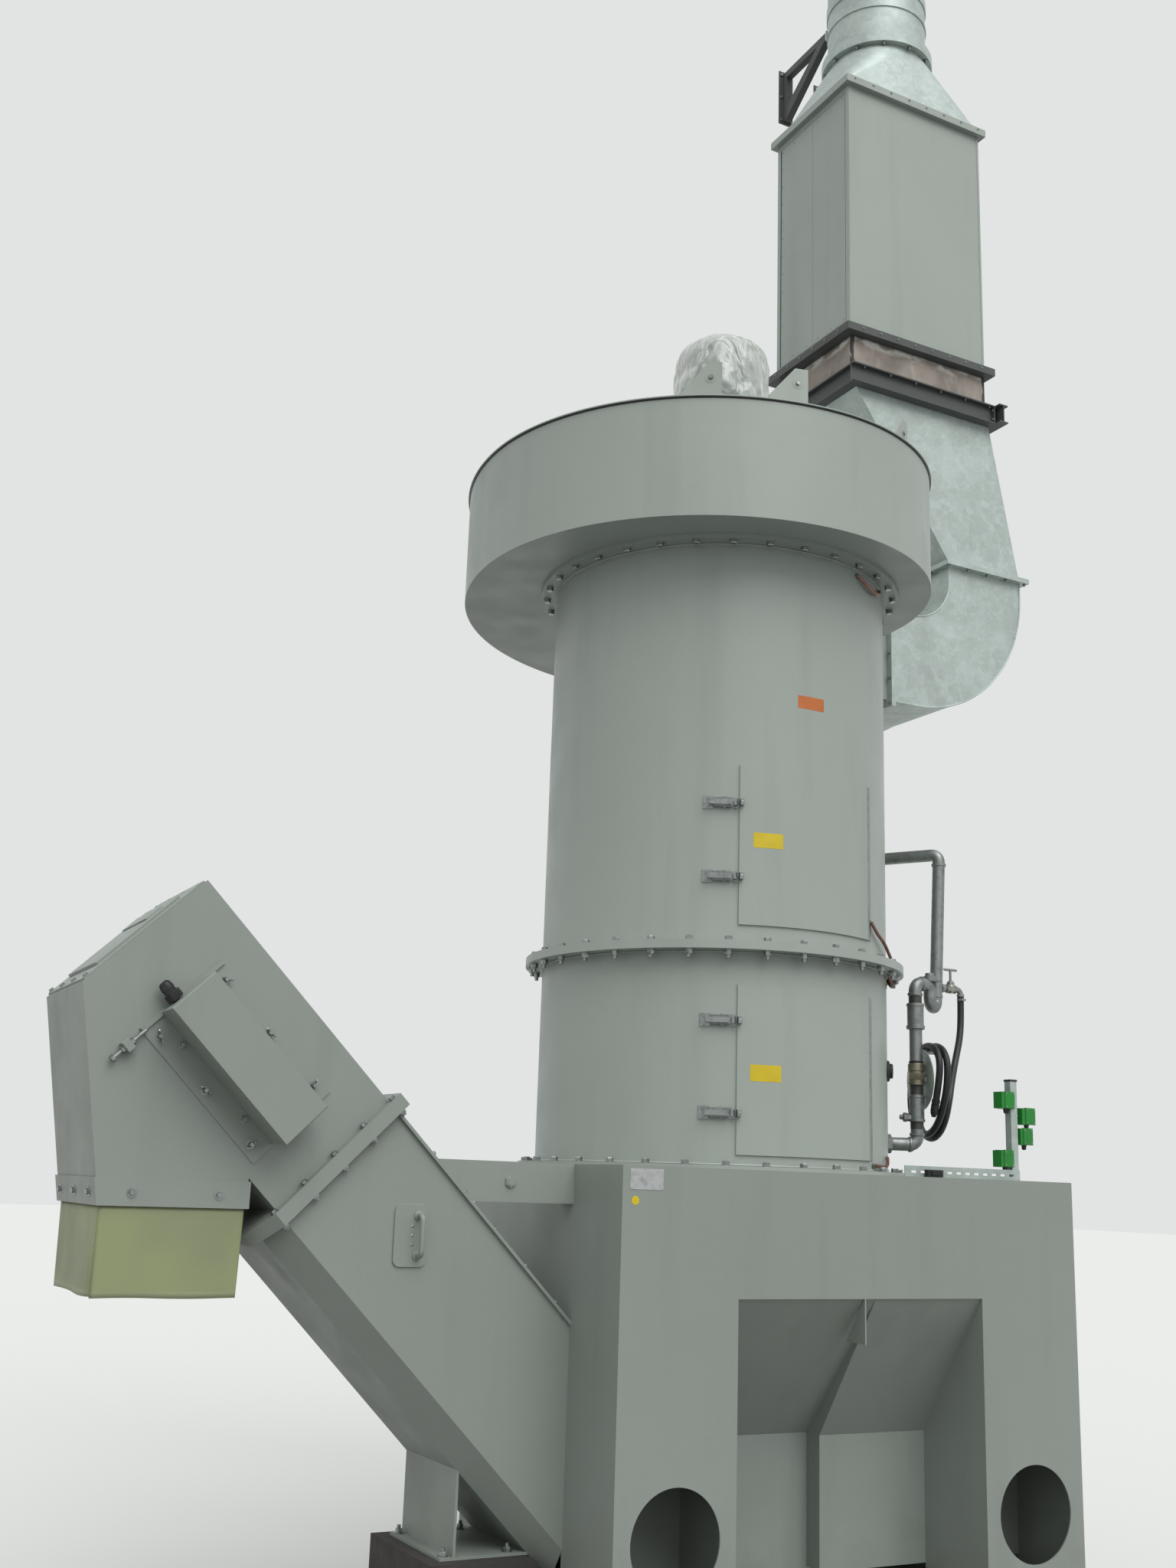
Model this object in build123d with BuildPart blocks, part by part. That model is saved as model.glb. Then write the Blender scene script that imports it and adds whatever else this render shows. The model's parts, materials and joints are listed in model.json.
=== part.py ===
"""Wet dust collector: tank with scraper conveyor, washing tower, fan scroll, outlet duct with silencer.

Millimetres. The origin is on the floor below the tower axis, +Z up. Seen from the front, +X is to the
right and +Y runs away from the viewer.
"""
import os
from math import asin, atan2, cos, degrees, hypot, radians, sin, sqrt, tan

from build123d import *

os.makedirs("parts", exist_ok=True)

# General sheet and fit sizes
SHEET = 5
FIT = 0.3

# Tank
TANK_WIDTH = 1770
TANK_FRONT = 917
TANK_BACK = 715
TANK_SIDE_BACK = 126
TANK_HEIGHT = 1480
TANK_TOP_SHEET = 8
CUTOUT_WIDTH = 950
CUTOUT_HEIGHT = 1100
LEG_HOLE = 300
LEG_HOLE_X = (TANK_WIDTH + CUTOUT_WIDTH) / 4
LEG_HOLE_Z = 434
LEG_DEPTH = 305
SUMP_FLOOR = 250
SUMP_SLOPE_FOOT = 655
SUMP_RECESS = 71
SUMP_RECESS_END = 45
GUSSET_HEIGHT = 136

# Tower
TOWER_RADIUS = 645
TOWER_SHEET = 4
FLANGE_RADIUS = 708
FLANGE_SHEET = 15
LOWER_SHELL = 741
UPPER_SHELL = 1479
MID_FLANGE = TANK_HEIGHT + LOWER_SHELL
HEAD_FLANGE = MID_FLANGE + UPPER_SHELL
BOLT_HOLE = 14
INLET_RADIUS = 225
INLET_LENGTH = 250
INLET_RISE = 419
INLET_HEIGHT = MID_FLANGE + INLET_RISE
INLET_FLANGE = 40
INLET_BOLTS = 12

# Doors
DOOR_HALF_ANGLE = 25
DOOR_HEIGHT = 562
DOOR_SHEET = 6
DOOR_GAP = 0.8
DOOR_LAP = 34
LOWER_DOOR_RISE = 51
UPPER_DOOR_RISE = 76
LOWER_DOOR_Z = TANK_HEIGHT + LOWER_DOOR_RISE
UPPER_DOOR_Z = MID_FLANGE + UPPER_DOOR_RISE
HINGE_RADIUS = 4.5
HINGE_GAP = 0.8
HINGE_LEAF = 26
HINGE_SHEET = 2
LATCH_LENGTH = 122
LATCH_HEIGHT = 44
LATCH_DEPTH = 28
LATCH_GAP = 6
STRIKER_LENGTH = 12
LOWER_LATCHES = (134, 440)
UPPER_LATCHES = (165, 425)

# Fan scroll
SCROLL_HEIGHT = 457
SCROLL_SHEET = 4
SCROLL_RADII = (804, 950, 1197)
SCROLL_START_Y = -46
SCROLL_INLET = 420
SCROLL_RIM = 8
LUG_RADIUS = 765
LUG_ANGLES = (-128, -104, -59, 31, 121)
LUG_WIDTH = 150
LUG_HEIGHT = 180
LUG_SHOULDER = 60
LUG_CREST = 50
LUG_SHEET = 10
LUG_HOLE = 40
LUG_HOLE_DROP = 60
MOTOR_RADIUS = 165
MOTOR_HEIGHT = 640
FILM_RADIUS = 203
FILM_HEIGHT = 686
FILM_SHEET = 3
FILM_ROUND = 90

# Outlet duct
DUCT_SHEET = 3
DUCT_FRONT = 683
DUCT_DEPTH = 614
OUTLET_X = 1390
ELBOW_TURN_X = 1556
ELBOW_THROAT = 230
ELBOW_RISE = 770
ELBOW_TOP = HEAD_FLANGE + ELBOW_RISE
DUCT_FLANGE = 36
DUCT_FLANGE_SHEET = 12
NECK_LEFT = 1220
NECK_WIDTH = 848
NECK_FLANGE = 30
NECK_FLANGE_SHEET = 7
TRANSITION_HEIGHT = 815
NECK_HEIGHT = 107
TRANSITION_TOP = ELBOW_TOP + TRANSITION_HEIGHT
NECK_TOP = TRANSITION_TOP + NECK_HEIGHT
COMPENSATOR_LEFT = 1196
COMPENSATOR_HEIGHT = 168
COMPENSATOR_SHEET = 8

# Support frame
WALL_Y = 1683
BEAM_HEIGHT = 100
BEAM_WIDTH = 55
BEAM_WEB = 5
BEAM_FLANGE = 7
BEAM_OVERHANG = 33
BEAM_PLATE = 150
BRACE_DROP = 330
BRACE_DEPTH = 60
BRACE_WIDTH = 40

# Silencer and stack
SILENCER_HEIGHT = 1420
SILENCER_BASE = NECK_TOP + COMPENSATOR_HEIGHT
SILENCER_TOP = SILENCER_BASE + SILENCER_HEIGHT
SILENCER_LEFT = 1178
SILENCER_WIDTH = 864
SILENCER_OVERHANG = 7
SILENCER_PANEL = 3
SILENCER_BASE_LIP = 40
SILENCER_TOP_LIP = 30
RING_HEIGHT = 40
RING_BORDER = 40
ROUND_HEIGHT = 420
ROUND_TOP = SILENCER_TOP + ROUND_HEIGHT
CORNER_BEND = 4
ROUND_FLAT = 2
STACK_RADIUS = 265
STACK_SHEET = 4
STACK_RING = 34
STACK_FLANGE_SHEET = 30
STACK_BOLTS = 12
SEAM_RISE = 240
SEAM_BEAD = 6
STACK_SEAM = ROUND_TOP + SEAM_RISE
STACK_HEIGHT = 900
STACK_TOP = ROUND_TOP + STACK_HEIGHT
CLAMP_SHEET = 6
CLAMP_HEIGHT = 60
CONSOLE_RISE = 390
CONSOLE_Z = ROUND_TOP + CONSOLE_RISE
CONSOLE_SPACING = 250
CONSOLE_BAR = 40
CONSOLE_HEIGHT = 320

# Scraper conveyor, set out along its own axis: run goes up to the left at 45 degrees
CONVEYOR_FRONT = -612
CONVEYOR_WIDTH = 530
CONVEYOR_TOP = 88
CONVEYOR_DEPTH = 450
CONVEYOR_CHAMFER = 68
CONVEYOR_SHEET = 5
CONVEYOR_FLANGE_RUN = 2186
CONVEYOR_FLANGE_LENGTH = 44
CONVEYOR_FLANGE_LIP = 34
CONVEYOR_END_RUN = 3070
HOOD_MOUTH_LEFT = -2326
HOOD_MOUTH_RIGHT = -1918
HOOD_MOUTH_Z = 1322
MOUTH_BAND = 74
MOUTH_BAND_SHEET = 6
SKIRT_BOTTOM = 1082
SKIRT_SHEET = 4
COVER_LIP = 12
COVER_SHEET = 4
LID_MARGIN = 8
LID_SHEET = 6
COVER_LENGTH = 500
COVER_BOX_LENGTH = 490
COVER_PLATE_WIDTH = 300
COVER_BOX_WIDTH = 150
COVER_BOX_DEPTH = 140
COVER_CENTRE = (-1980, 1727)
HANDLE_CENTRE = (-1422, 1258)
HANDLE_WIDTH = 105
HANDLE_HEIGHT = 178
HANDLE_ROUND = 21
HANDLE_OFFSET = 21
HANDLE_SHEET = 6
HANDLE_GRIP = 130
HANDLE_BAR = 16
HANDLE_REACH = 45
BRACKET_HEIGHT = 120
BRACKET_DEPTH = 80
BRACKET_SHEET = 5
BRACKET_REACH = 510
BRACKET_HOLE = 30
BRACKET_HOLE_X = -1105
FOOT_SHEET = 8
FOOT_GAP = 76
FOOT_REACH = 360
FOOT_POST_INSET = 40
PLINTH_MARGIN = 45
PLINTH_GAP = 20
PLINTH_CLEARANCE = 5
FOOT_FRONT = -544
FOOT_WIDTH = 388

# Water pipes
PIPE_RADIUS = 24
PIPE_BEND = 31
STANDPIPE_X = 709
STANDPIPE_Y = -317
STANDPIPE_FOOT = 124
STANDPIPE_RISE = 726
STANDPIPE_BOTTOM = TANK_HEIGHT + STANDPIPE_FOOT
STANDPIPE_TOP = TANK_HEIGHT + STANDPIPE_RISE
TEE_X = 795
TEE_Y = -300
TEE_DROP = 80
RISER_X = 850
RISER_Y = -267
RISER_LEAN = 30
FEED_RISE = 1253
RISER_TOP = TANK_HEIGHT + FEED_RISE
FEED_ANGLE = 15.5
UNION_RADIUS = 27
SLEEVES = ((207, 98, 28), (343, 80, UNION_RADIUS), (550, 98, 31))
HANGER_X = 752
HANGER_Y = -285
HANGER_RISE = 365
HANGER_Z = TANK_HEIGHT + HANGER_RISE
HANGER_TURN = 14.5
HANGER_RADIUS = 115
HANGER_SHEET = 4
HANGER_STUB = 12
PEG_RADIUS = 8
PEG_PLACE = (-20, 104)
PEG_LENGTH = 80
PEG_RIM = 15
PEG_RIM_SHEET = 3
TAP_X = 926
TAP_PIPE = 11
TAP_BODY = 20
TAP_BODY_HEIGHT = 50
TAP_HANDLE = 60
TAP_HANDLE_RISE = 69
TAP_HANDLE_Z = STANDPIPE_TOP + TAP_HANDLE_RISE
SPOUT_X = 975
SPOUT_DROP = 28
SPOUT_Z = STANDPIPE_TOP - SPOUT_DROP

# Hose from the spout, wound loosely over the hanger's peg. Its points are set out from the middle of the
# disc: along it away from the viewer, up, and out from it. The turns move towards the disc by the pitch.
HOSE_RADIUS = 13
HOSE_EXIT_RUN = 78
HOSE_DROP = (
    (56, 170, 196),
    (18, 88, 158),
    (-28, 4, 118),
    (-64, -76, 88),
    (-54, -142, 78),
    (-18, -192, 72),
    (40, -216, 69),
    (102, -204, 66),
    (146, -162, 64),
    (164, -100, 62),
    (158, -14, 59),
)
HOSE_TURN = (
    (108, 70),
    (66, 122),
    (12, 153),
    (-52, 153),
    (-108, 122),
    (-142, 66),
    (-138, -28),
    (-100, -114),
    (-56, -168),
    (0, -199),
    (64, -199),
    (120, -168),
    (154, -112),
    (152, -18),
)
HOSE_TURN_POINTS = 19
HOSE_FIRST_OUT = 57
HOSE_PITCH = 28
HOSE_TAIL = (
    (-138, 66, 18),
    (-130, -10, 16),
    (-104, -80, 15),
)
NOZZLE_RADIUS = 15
NOZZLE_LENGTH = 62

# Cable rail and probes on the tank's top
RAIL_Y = -667
RAIL_LENGTH = 520
RAIL_HEIGHT = 40
RAIL_SHEET = 3
RAIL_FOOT = 30
RAIL_SLOT = 24
RAIL_PITCH = 40
RAIL_SLOTS = 12
POST_INSET = 17
POST_WIDTH = 30
POST_WALL = 2
POST_HEIGHT = 350
PROBE_BOXES = ((-40, 284), (50, 230), (40, 158), (-50, 78))
PROBE_PIN = 4
PROBE_WIDTH = 44
PROBE_HEIGHT = 58
PROBE_DEPTH = 44


def tank_outline(inset=0):
    """Plan of the tank: square at the front, chamfered at the back; the tower flange touches the chamfers."""
    half = TANK_WIDTH / 2
    back_half = half - (TANK_BACK - TANK_SIDE_BACK)
    with BuildSketch() as plan:
        with BuildLine():
            Polyline(
                (-half, -TANK_FRONT),
                (half, -TANK_FRONT),
                (half, TANK_SIDE_BACK),
                (back_half, TANK_BACK),
                (-back_half, TANK_BACK),
                (-half, TANK_SIDE_BACK),
                close=True,
            )
        make_face()
        if inset:
            offset(amount=-inset, kind=Kind.INTERSECTION)
    return plan.sketch


def finish(part, name):
    part.label = name
    export_step(part, f"parts/{name}.step")


# Tank
half_width = TANK_WIDTH / 2
wall_height = TANK_HEIGHT - TANK_TOP_SHEET
front_inside = -TANK_FRONT + SHEET
leg_back = -TANK_FRONT + LEG_DEPTH
conveyor_back = CONVEYOR_FRONT + CONVEYOR_WIDTH

with BuildPart() as tank_front_wall:
    with BuildSketch(Plane.XZ.offset(TANK_FRONT)):
        with Locations((0, wall_height / 2)):
            Rectangle(TANK_WIDTH, wall_height)
        with Locations((0, CUTOUT_HEIGHT / 2)):
            Rectangle(CUTOUT_WIDTH, CUTOUT_HEIGHT, mode=Mode.SUBTRACT)
        with Locations((-LEG_HOLE_X, LEG_HOLE_Z), (LEG_HOLE_X, LEG_HOLE_Z)):
            Circle(LEG_HOLE / 2, mode=Mode.SUBTRACT)
    extrude(amount=-SHEET)
finish(tank_front_wall.part, "tank_front_wall")


def tank_wall(name, centre, size, opening=None):
    """One stretch of the tank's wall: the part of the wall ring inside a rectangle of the plan."""
    with BuildPart() as wall:
        with BuildSketch():
            add(tank_outline())
            add(tank_outline(SHEET), mode=Mode.SUBTRACT)
            with Locations(centre):
                Rectangle(*size, mode=Mode.INTERSECT)
        extrude(amount=wall_height)
        if opening:
            add(opening, mode=Mode.SUBTRACT)
    finish(wall.part, name)


side_length = TANK_SIDE_BACK - front_inside
side_middle = (TANK_SIDE_BACK + front_inside) / 2
back_length = TANK_BACK - TANK_SIDE_BACK
inlet_bottom = half_width - (CONVEYOR_DEPTH + CONVEYOR_CHAMFER - CONVEYOR_TOP) * sqrt(2)
inlet_top = half_width + CONVEYOR_TOP * sqrt(2)
with BuildPart(mode=Mode.PRIVATE) as conveyor_opening:
    with BuildSketch(Plane.YZ.offset(-half_width - 1)):
        with Locations(((CONVEYOR_FRONT + conveyor_back) / 2, (inlet_bottom + inlet_top) / 2)):
            Rectangle(
                CONVEYOR_WIDTH - 2 * CONVEYOR_SHEET,
                inlet_top - inlet_bottom - 2 * CONVEYOR_SHEET,
            )
    extrude(amount=SHEET + 2)
tank_wall(
    "tank_left_wall",
    (-half_width, side_middle),
    (4 * SHEET, side_length),
    conveyor_opening.part,
)
tank_wall("tank_right_wall", (half_width, side_middle), (4 * SHEET, side_length))
tank_wall("tank_back_wall", (0, TANK_SIDE_BACK + back_length / 2), (TANK_WIDTH, back_length))

with BuildPart() as tank_top:
    with BuildSketch(Plane.XY.offset(wall_height)):
        add(tank_outline())
        Circle(TOWER_RADIUS - TOWER_SHEET, mode=Mode.SUBTRACT)
    extrude(amount=TANK_TOP_SHEET)
finish(tank_top.part, "tank_top")


def sump_inner_line(front):
    """Inner face of the bent sheet in side view, from the sump floor up to the front wall."""
    slope = atan2(CUTOUT_HEIGHT - SUMP_SLOPE_FOOT, front - front_inside)
    return [
        (front + SHEET, SUMP_FLOOR),
        (front + SHEET, SUMP_SLOPE_FOOT + SHEET * tan(slope / 2)),
        (front_inside, CUTOUT_HEIGHT + SHEET / cos(slope)),
    ]


def sump_section(start, front, back):
    """Bent sheet whose outer face is set by front and inner face by back, down to the sump floor."""
    with BuildSketch(Plane.YZ.offset(start)) as profile:
        with BuildLine():
            Polyline(
                (front_inside, CUTOUT_HEIGHT),
                (front, SUMP_SLOPE_FOOT),
                (front, SUMP_FLOOR),
                *sump_inner_line(back),
                close=True,
            )
        make_face()
    return profile.sketch


inside_half = half_width - SHEET
cutout_half = CUTOUT_WIDTH / 2
recess = leg_back + SUMP_RECESS
with BuildPart() as sump_front:
    extrude(sump_section(-inside_half, leg_back, leg_back), amount=inside_half - cutout_half)
    extrude(sump_section(SUMP_RECESS_END, leg_back, leg_back), amount=inside_half - SUMP_RECESS_END)
    extrude(sump_section(-cutout_half, recess, recess), amount=cutout_half + SUMP_RECESS_END)
    for cheek_start in (-cutout_half - SHEET, SUMP_RECESS_END):
        extrude(sump_section(cheek_start, leg_back, recess), amount=SHEET)
finish(sump_front.part, "sump_front")

with BuildPart() as sump_floor:
    with BuildSketch(Plane.XY.offset(SUMP_FLOOR - SHEET)):
        add(tank_outline(SHEET))
        with Locations((0, leg_back)):
            Rectangle(TANK_WIDTH, TANK_BACK - leg_back, align=(Align.CENTER, Align.MIN), mode=Mode.INTERSECT)
    extrude(amount=SHEET)
finish(sump_floor.part, "sump_floor")

# Inner sides of the two hollow front legs, cut to the slope above them
with BuildPart() as leg_sides:
    for leg_start in (-cutout_half - SHEET, cutout_half):
        with BuildSketch(Plane.YZ.offset(leg_start)):
            with BuildLine():
                Polyline(
                    (front_inside, 0),
                    (leg_back, 0),
                    (leg_back, SUMP_SLOPE_FOOT),
                    (front_inside, CUTOUT_HEIGHT),
                    close=True,
                )
            make_face()
        extrude(amount=SHEET)
finish(leg_sides.part, "leg_sides")

# Small gusset between the front wall and the slope, seen edge on in the middle of the cutout
with BuildPart() as cutout_gusset:
    slope_run = (leg_back - front_inside) * GUSSET_HEIGHT / (CUTOUT_HEIGHT - SUMP_SLOPE_FOOT)
    with BuildSketch(Plane.YZ.offset(-SHEET / 2)):
        with BuildLine():
            Polyline(
                (-TANK_FRONT, CUTOUT_HEIGHT),
                (front_inside, CUTOUT_HEIGHT),
                (front_inside + slope_run, CUTOUT_HEIGHT - GUSSET_HEIGHT),
                (-TANK_FRONT, CUTOUT_HEIGHT - GUSSET_HEIGHT),
                close=True,
            )
        make_face()
    extrude(amount=SHEET)
finish(cutout_gusset.part, "cutout_gusset")

# Tower
lower_shell_base = TANK_HEIGHT + FLANGE_SHEET
mid_bottom = MID_FLANGE - FLANGE_SHEET
mid_top = MID_FLANGE + FLANGE_SHEET
head_bottom = HEAD_FLANGE - FLANGE_SHEET


def tower_ring(name, base):
    """Flat flange ring around the tower."""
    with BuildPart() as ring:
        with BuildSketch(Plane.XY.offset(base)):
            Circle(FLANGE_RADIUS)
            Circle(TOWER_RADIUS - TOWER_SHEET, mode=Mode.SUBTRACT)
        extrude(amount=FLANGE_SHEET)
    finish(ring.part, name)


def tower_shell(name, base, top, door_z, inlet=False):
    """Rolled shell with its door opening, a little smaller than the door that laps it."""
    opening_half = TOWER_RADIUS * sin(radians(DOOR_HALF_ANGLE)) - DOOR_LAP
    with BuildPart() as shell:
        with BuildSketch(Plane.XY.offset(base)):
            Circle(TOWER_RADIUS)
            Circle(TOWER_RADIUS - TOWER_SHEET, mode=Mode.SUBTRACT)
        extrude(amount=top - base)
        with BuildSketch(Plane.XZ.offset(TOWER_RADIUS / 2)):
            with Locations((0, door_z + DOOR_HEIGHT / 2)):
                RectangleRounded(2 * opening_half, DOOR_HEIGHT - 2 * DOOR_LAP, DOOR_LAP)
        extrude(amount=TOWER_RADIUS, mode=Mode.SUBTRACT)
        if inlet:
            with BuildSketch(Plane.XZ.offset(-TOWER_RADIUS / 2)):
                with Locations((0, INLET_HEIGHT)):
                    Circle(INLET_RADIUS - TOWER_SHEET)
            extrude(amount=-TOWER_RADIUS, mode=Mode.SUBTRACT)
    finish(shell.part, name)


tower_ring("tower_base_flange", TANK_HEIGHT)
tower_shell("tower_lower", lower_shell_base, mid_bottom, LOWER_DOOR_Z)
tower_ring("tower_lower_flange", mid_bottom)
tower_ring("tower_upper_flange", MID_FLANGE)
tower_shell("tower_upper", mid_top, head_bottom, UPPER_DOOR_Z, inlet=True)
tower_ring("tower_head_flange", head_bottom)

# Raw gas inlet at the back of the upper tower
inlet_end = TOWER_RADIUS + INLET_LENGTH
with BuildPart() as gas_inlet:
    with BuildSketch(Plane.XZ.offset(-TOWER_RADIUS / 2)):
        with Locations((0, INLET_HEIGHT)):
            Circle(INLET_RADIUS)
            Circle(INLET_RADIUS - TOWER_SHEET, mode=Mode.SUBTRACT)
    extrude(amount=-(inlet_end - TOWER_RADIUS / 2))
    with BuildSketch(Plane.XY.offset(INLET_HEIGHT - 2 * INLET_RADIUS)):
        Circle(TOWER_RADIUS + FIT)
    extrude(amount=4 * INLET_RADIUS, mode=Mode.SUBTRACT)
    with BuildSketch(Plane.XZ.offset(-inlet_end)):
        with Locations((0, INLET_HEIGHT)):
            Circle(INLET_RADIUS + INLET_FLANGE)
            Circle(INLET_RADIUS - TOWER_SHEET, mode=Mode.SUBTRACT)
            with PolarLocations(INLET_RADIUS + INLET_FLANGE / 2, INLET_BOLTS):
                Circle(BOLT_HOLE / 2, mode=Mode.SUBTRACT)
    extrude(amount=FLANGE_SHEET / 2)
finish(gas_inlet.part, "gas_inlet")

# Doors, hinged on their right edge, with two toggle latches each on the tower beside the left edge
door_inner = TOWER_RADIUS + DOOR_GAP
door_outer = door_inner + DOOR_SHEET
hinge_axis_radius = TOWER_RADIUS + FIT + HINGE_RADIUS
hinge_edge = DOOR_HALF_ANGLE + degrees((HINGE_RADIUS + HINGE_GAP) / door_inner)
hinge_axis = (
    hinge_axis_radius * sin(radians(hinge_edge)),
    -hinge_axis_radius * cos(radians(hinge_edge)),
)
latch_start = DOOR_HALF_ANGLE + degrees(LATCH_GAP / door_outer)
latch_middle = latch_start + degrees(LATCH_LENGTH / 2 / door_outer)


def tower_sector(inner, outer, start, end):
    """Ring sector in plan, its angles counted from the front, positive to the right."""
    middle = radians((start + end) / 2)
    corners = [
        (radius * sin(radians(angle)), -radius * cos(radians(angle)))
        for radius, angle in ((inner, start), (inner, end), (outer, end), (outer, start))
    ]
    with BuildSketch() as sector:
        with BuildLine():
            ThreePointArc(corners[0], (inner * sin(middle), -inner * cos(middle)), corners[1])
            Line(corners[1], corners[2])
            ThreePointArc(corners[2], (outer * sin(middle), -outer * cos(middle)), corners[3])
            Line(corners[3], corners[0])
        make_face()
    return sector.sketch


def door(name, base, latches):
    striker_end = door_outer + LATCH_DEPTH - DOOR_SHEET
    striker_edge = degrees(STRIKER_LENGTH / door_outer) - DOOR_HALF_ANGLE
    with BuildPart() as leaf:
        with BuildSketch(Plane.XY.offset(base)):
            add(tower_sector(door_inner, door_outer, -DOOR_HALF_ANGLE, DOOR_HALF_ANGLE))
        extrude(amount=DOOR_HEIGHT)
        for latch_z in latches:
            with BuildSketch(Plane.XY.offset(base + latch_z - LATCH_HEIGHT / 4)):
                add(tower_sector(door_inner, striker_end, -DOOR_HALF_ANGLE, striker_edge))
            extrude(amount=LATCH_HEIGHT / 2)
    finish(leaf.part, name)


door("door_lower", LOWER_DOOR_Z, LOWER_LATCHES)
door("door_upper", UPPER_DOOR_Z, UPPER_LATCHES)

# Piano hinges: each a leaf on the tower with its knuckle
leaf_end = hinge_edge + degrees(HINGE_LEAF / TOWER_RADIUS)
with BuildPart() as door_hinges:
    for hinge_base in (LOWER_DOOR_Z, UPPER_DOOR_Z):
        with BuildSketch(Plane.XY.offset(hinge_base)):
            add(tower_sector(TOWER_RADIUS, TOWER_RADIUS + HINGE_SHEET, hinge_edge, leaf_end))
            with Locations(hinge_axis):
                Circle(HINGE_RADIUS)
        extrude(amount=DOOR_HEIGHT)
finish(door_hinges.part, "door_hinges")

latch_heights = [LOWER_DOOR_Z + z for z in LOWER_LATCHES] + [UPPER_DOOR_Z + z for z in UPPER_LATCHES]
latch_plane = Plane(
    origin=(-TOWER_RADIUS * sin(radians(latch_middle)), -TOWER_RADIUS * cos(radians(latch_middle)), 0),
    x_dir=(cos(radians(latch_middle)), -sin(radians(latch_middle)), 0),
    z_dir=(-sin(radians(latch_middle)), -cos(radians(latch_middle)), 0),
)
with BuildPart() as door_latches:
    with BuildSketch(latch_plane):
        with Locations(*[(0, z) for z in latch_heights]):
            Rectangle(LATCH_LENGTH, LATCH_HEIGHT)
    extrude(amount=LATCH_DEPTH)
    with BuildSketch(Plane.XY.offset(LOWER_DOOR_Z)):
        Circle(TOWER_RADIUS + FIT)
    extrude(amount=UPPER_DOOR_Z + DOOR_HEIGHT - LOWER_DOOR_Z, mode=Mode.SUBTRACT)
finish(door_latches.part, "door_latches")

# Fan scroll
scroll_top = HEAD_FLANGE + SCROLL_HEIGHT
scroll_back = DUCT_FRONT + DUCT_DEPTH
volute_first, volute_second, volute_third = SCROLL_RADII
scroll_front = SCROLL_START_Y - volute_first
second_y = scroll_front + volute_second
third_x = volute_third - volute_second


def scroll_outline(grow, outlet_end):
    """Plan of the scroll: three arcs of growing radius and the straight outlet to the right."""
    first = volute_first + grow
    front = DUCT_FRONT - grow
    back = scroll_back + grow
    tongue_angle = degrees(asin((front - SCROLL_START_Y) / first))
    tongue_x = first * cos(radians(tongue_angle))
    with BuildSketch() as plan:
        with BuildLine():
            CenterArc((0, SCROLL_START_Y), first, -90, 90 + tongue_angle)
            CenterArc((0, second_y), volute_second + grow, 180, 90)
            CenterArc((third_x, second_y), volute_third + grow, 90, 90)
            Polyline((third_x, back), (outlet_end, back), (outlet_end, front), (tongue_x, front))
        make_face()
    return plan.sketch


with BuildPart() as scroll_floor:
    with BuildSketch(Plane.XY.offset(HEAD_FLANGE)):
        add(scroll_outline(0, OUTLET_X))
        Circle(SCROLL_INLET, mode=Mode.SUBTRACT)
    extrude(amount=SCROLL_SHEET)
finish(scroll_floor.part, "scroll_floor")

with BuildPart() as scroll_wall:
    with BuildSketch(Plane.XY.offset(HEAD_FLANGE + SCROLL_SHEET)):
        add(scroll_outline(0, OUTLET_X))
        add(scroll_outline(-SCROLL_SHEET, OUTLET_X + FIT), mode=Mode.SUBTRACT)
    extrude(amount=SCROLL_HEIGHT - 2 * SCROLL_SHEET)
finish(scroll_wall.part, "scroll_wall")

with BuildPart() as scroll_cover:
    with BuildSketch(Plane.XY.offset(scroll_top - SCROLL_SHEET)):
        add(scroll_outline(SCROLL_RIM, OUTLET_X))
    extrude(amount=SCROLL_SHEET)
finish(scroll_cover.part, "scroll_cover")

with BuildPart() as lifting_lugs:
    for lug_angle in LUG_ANGLES:
        outward = (cos(radians(lug_angle)), sin(radians(lug_angle)), 0)
        lug_plane = Plane(
            origin=(LUG_RADIUS * outward[0], LUG_RADIUS * outward[1], scroll_top),
            x_dir=(-outward[1], outward[0], 0),
            z_dir=outward,
        )
        with BuildSketch(lug_plane):
            with BuildLine():
                Polyline(
                    (-LUG_WIDTH / 2, 0),
                    (LUG_WIDTH / 2, 0),
                    (LUG_WIDTH / 2, LUG_HEIGHT),
                    (LUG_WIDTH / 2 - LUG_CREST, LUG_HEIGHT),
                    (-LUG_WIDTH / 2, LUG_SHOULDER),
                    close=True,
                )
            make_face()
            with Locations((LUG_WIDTH / 2 - LUG_HOLE, LUG_HEIGHT - LUG_HOLE_DROP)):
                Circle(LUG_HOLE / 2, mode=Mode.SUBTRACT)
        extrude(amount=LUG_SHEET / 2, both=True)
finish(lifting_lugs.part, "lifting_lugs")

with BuildPart() as fan_motor:
    with BuildSketch(Plane.XY.offset(scroll_top)):
        Circle(MOTOR_RADIUS)
    extrude(amount=MOTOR_HEIGHT)
    fillet(fan_motor.faces().sort_by(Axis.Z)[-1].edges(), MOTOR_RADIUS / 4)
finish(fan_motor.part, "fan_motor")

with BuildPart() as motor_film:
    with BuildSketch(Plane.XY.offset(scroll_top)):
        Circle(FILM_RADIUS)
    extrude(amount=FILM_HEIGHT)
    fillet(motor_film.faces().sort_by(Axis.Z)[-1].edges(), FILM_ROUND)
    offset(amount=-FILM_SHEET, openings=motor_film.faces().sort_by(Axis.Z)[0])
finish(motor_film.part, "motor_film")

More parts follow.
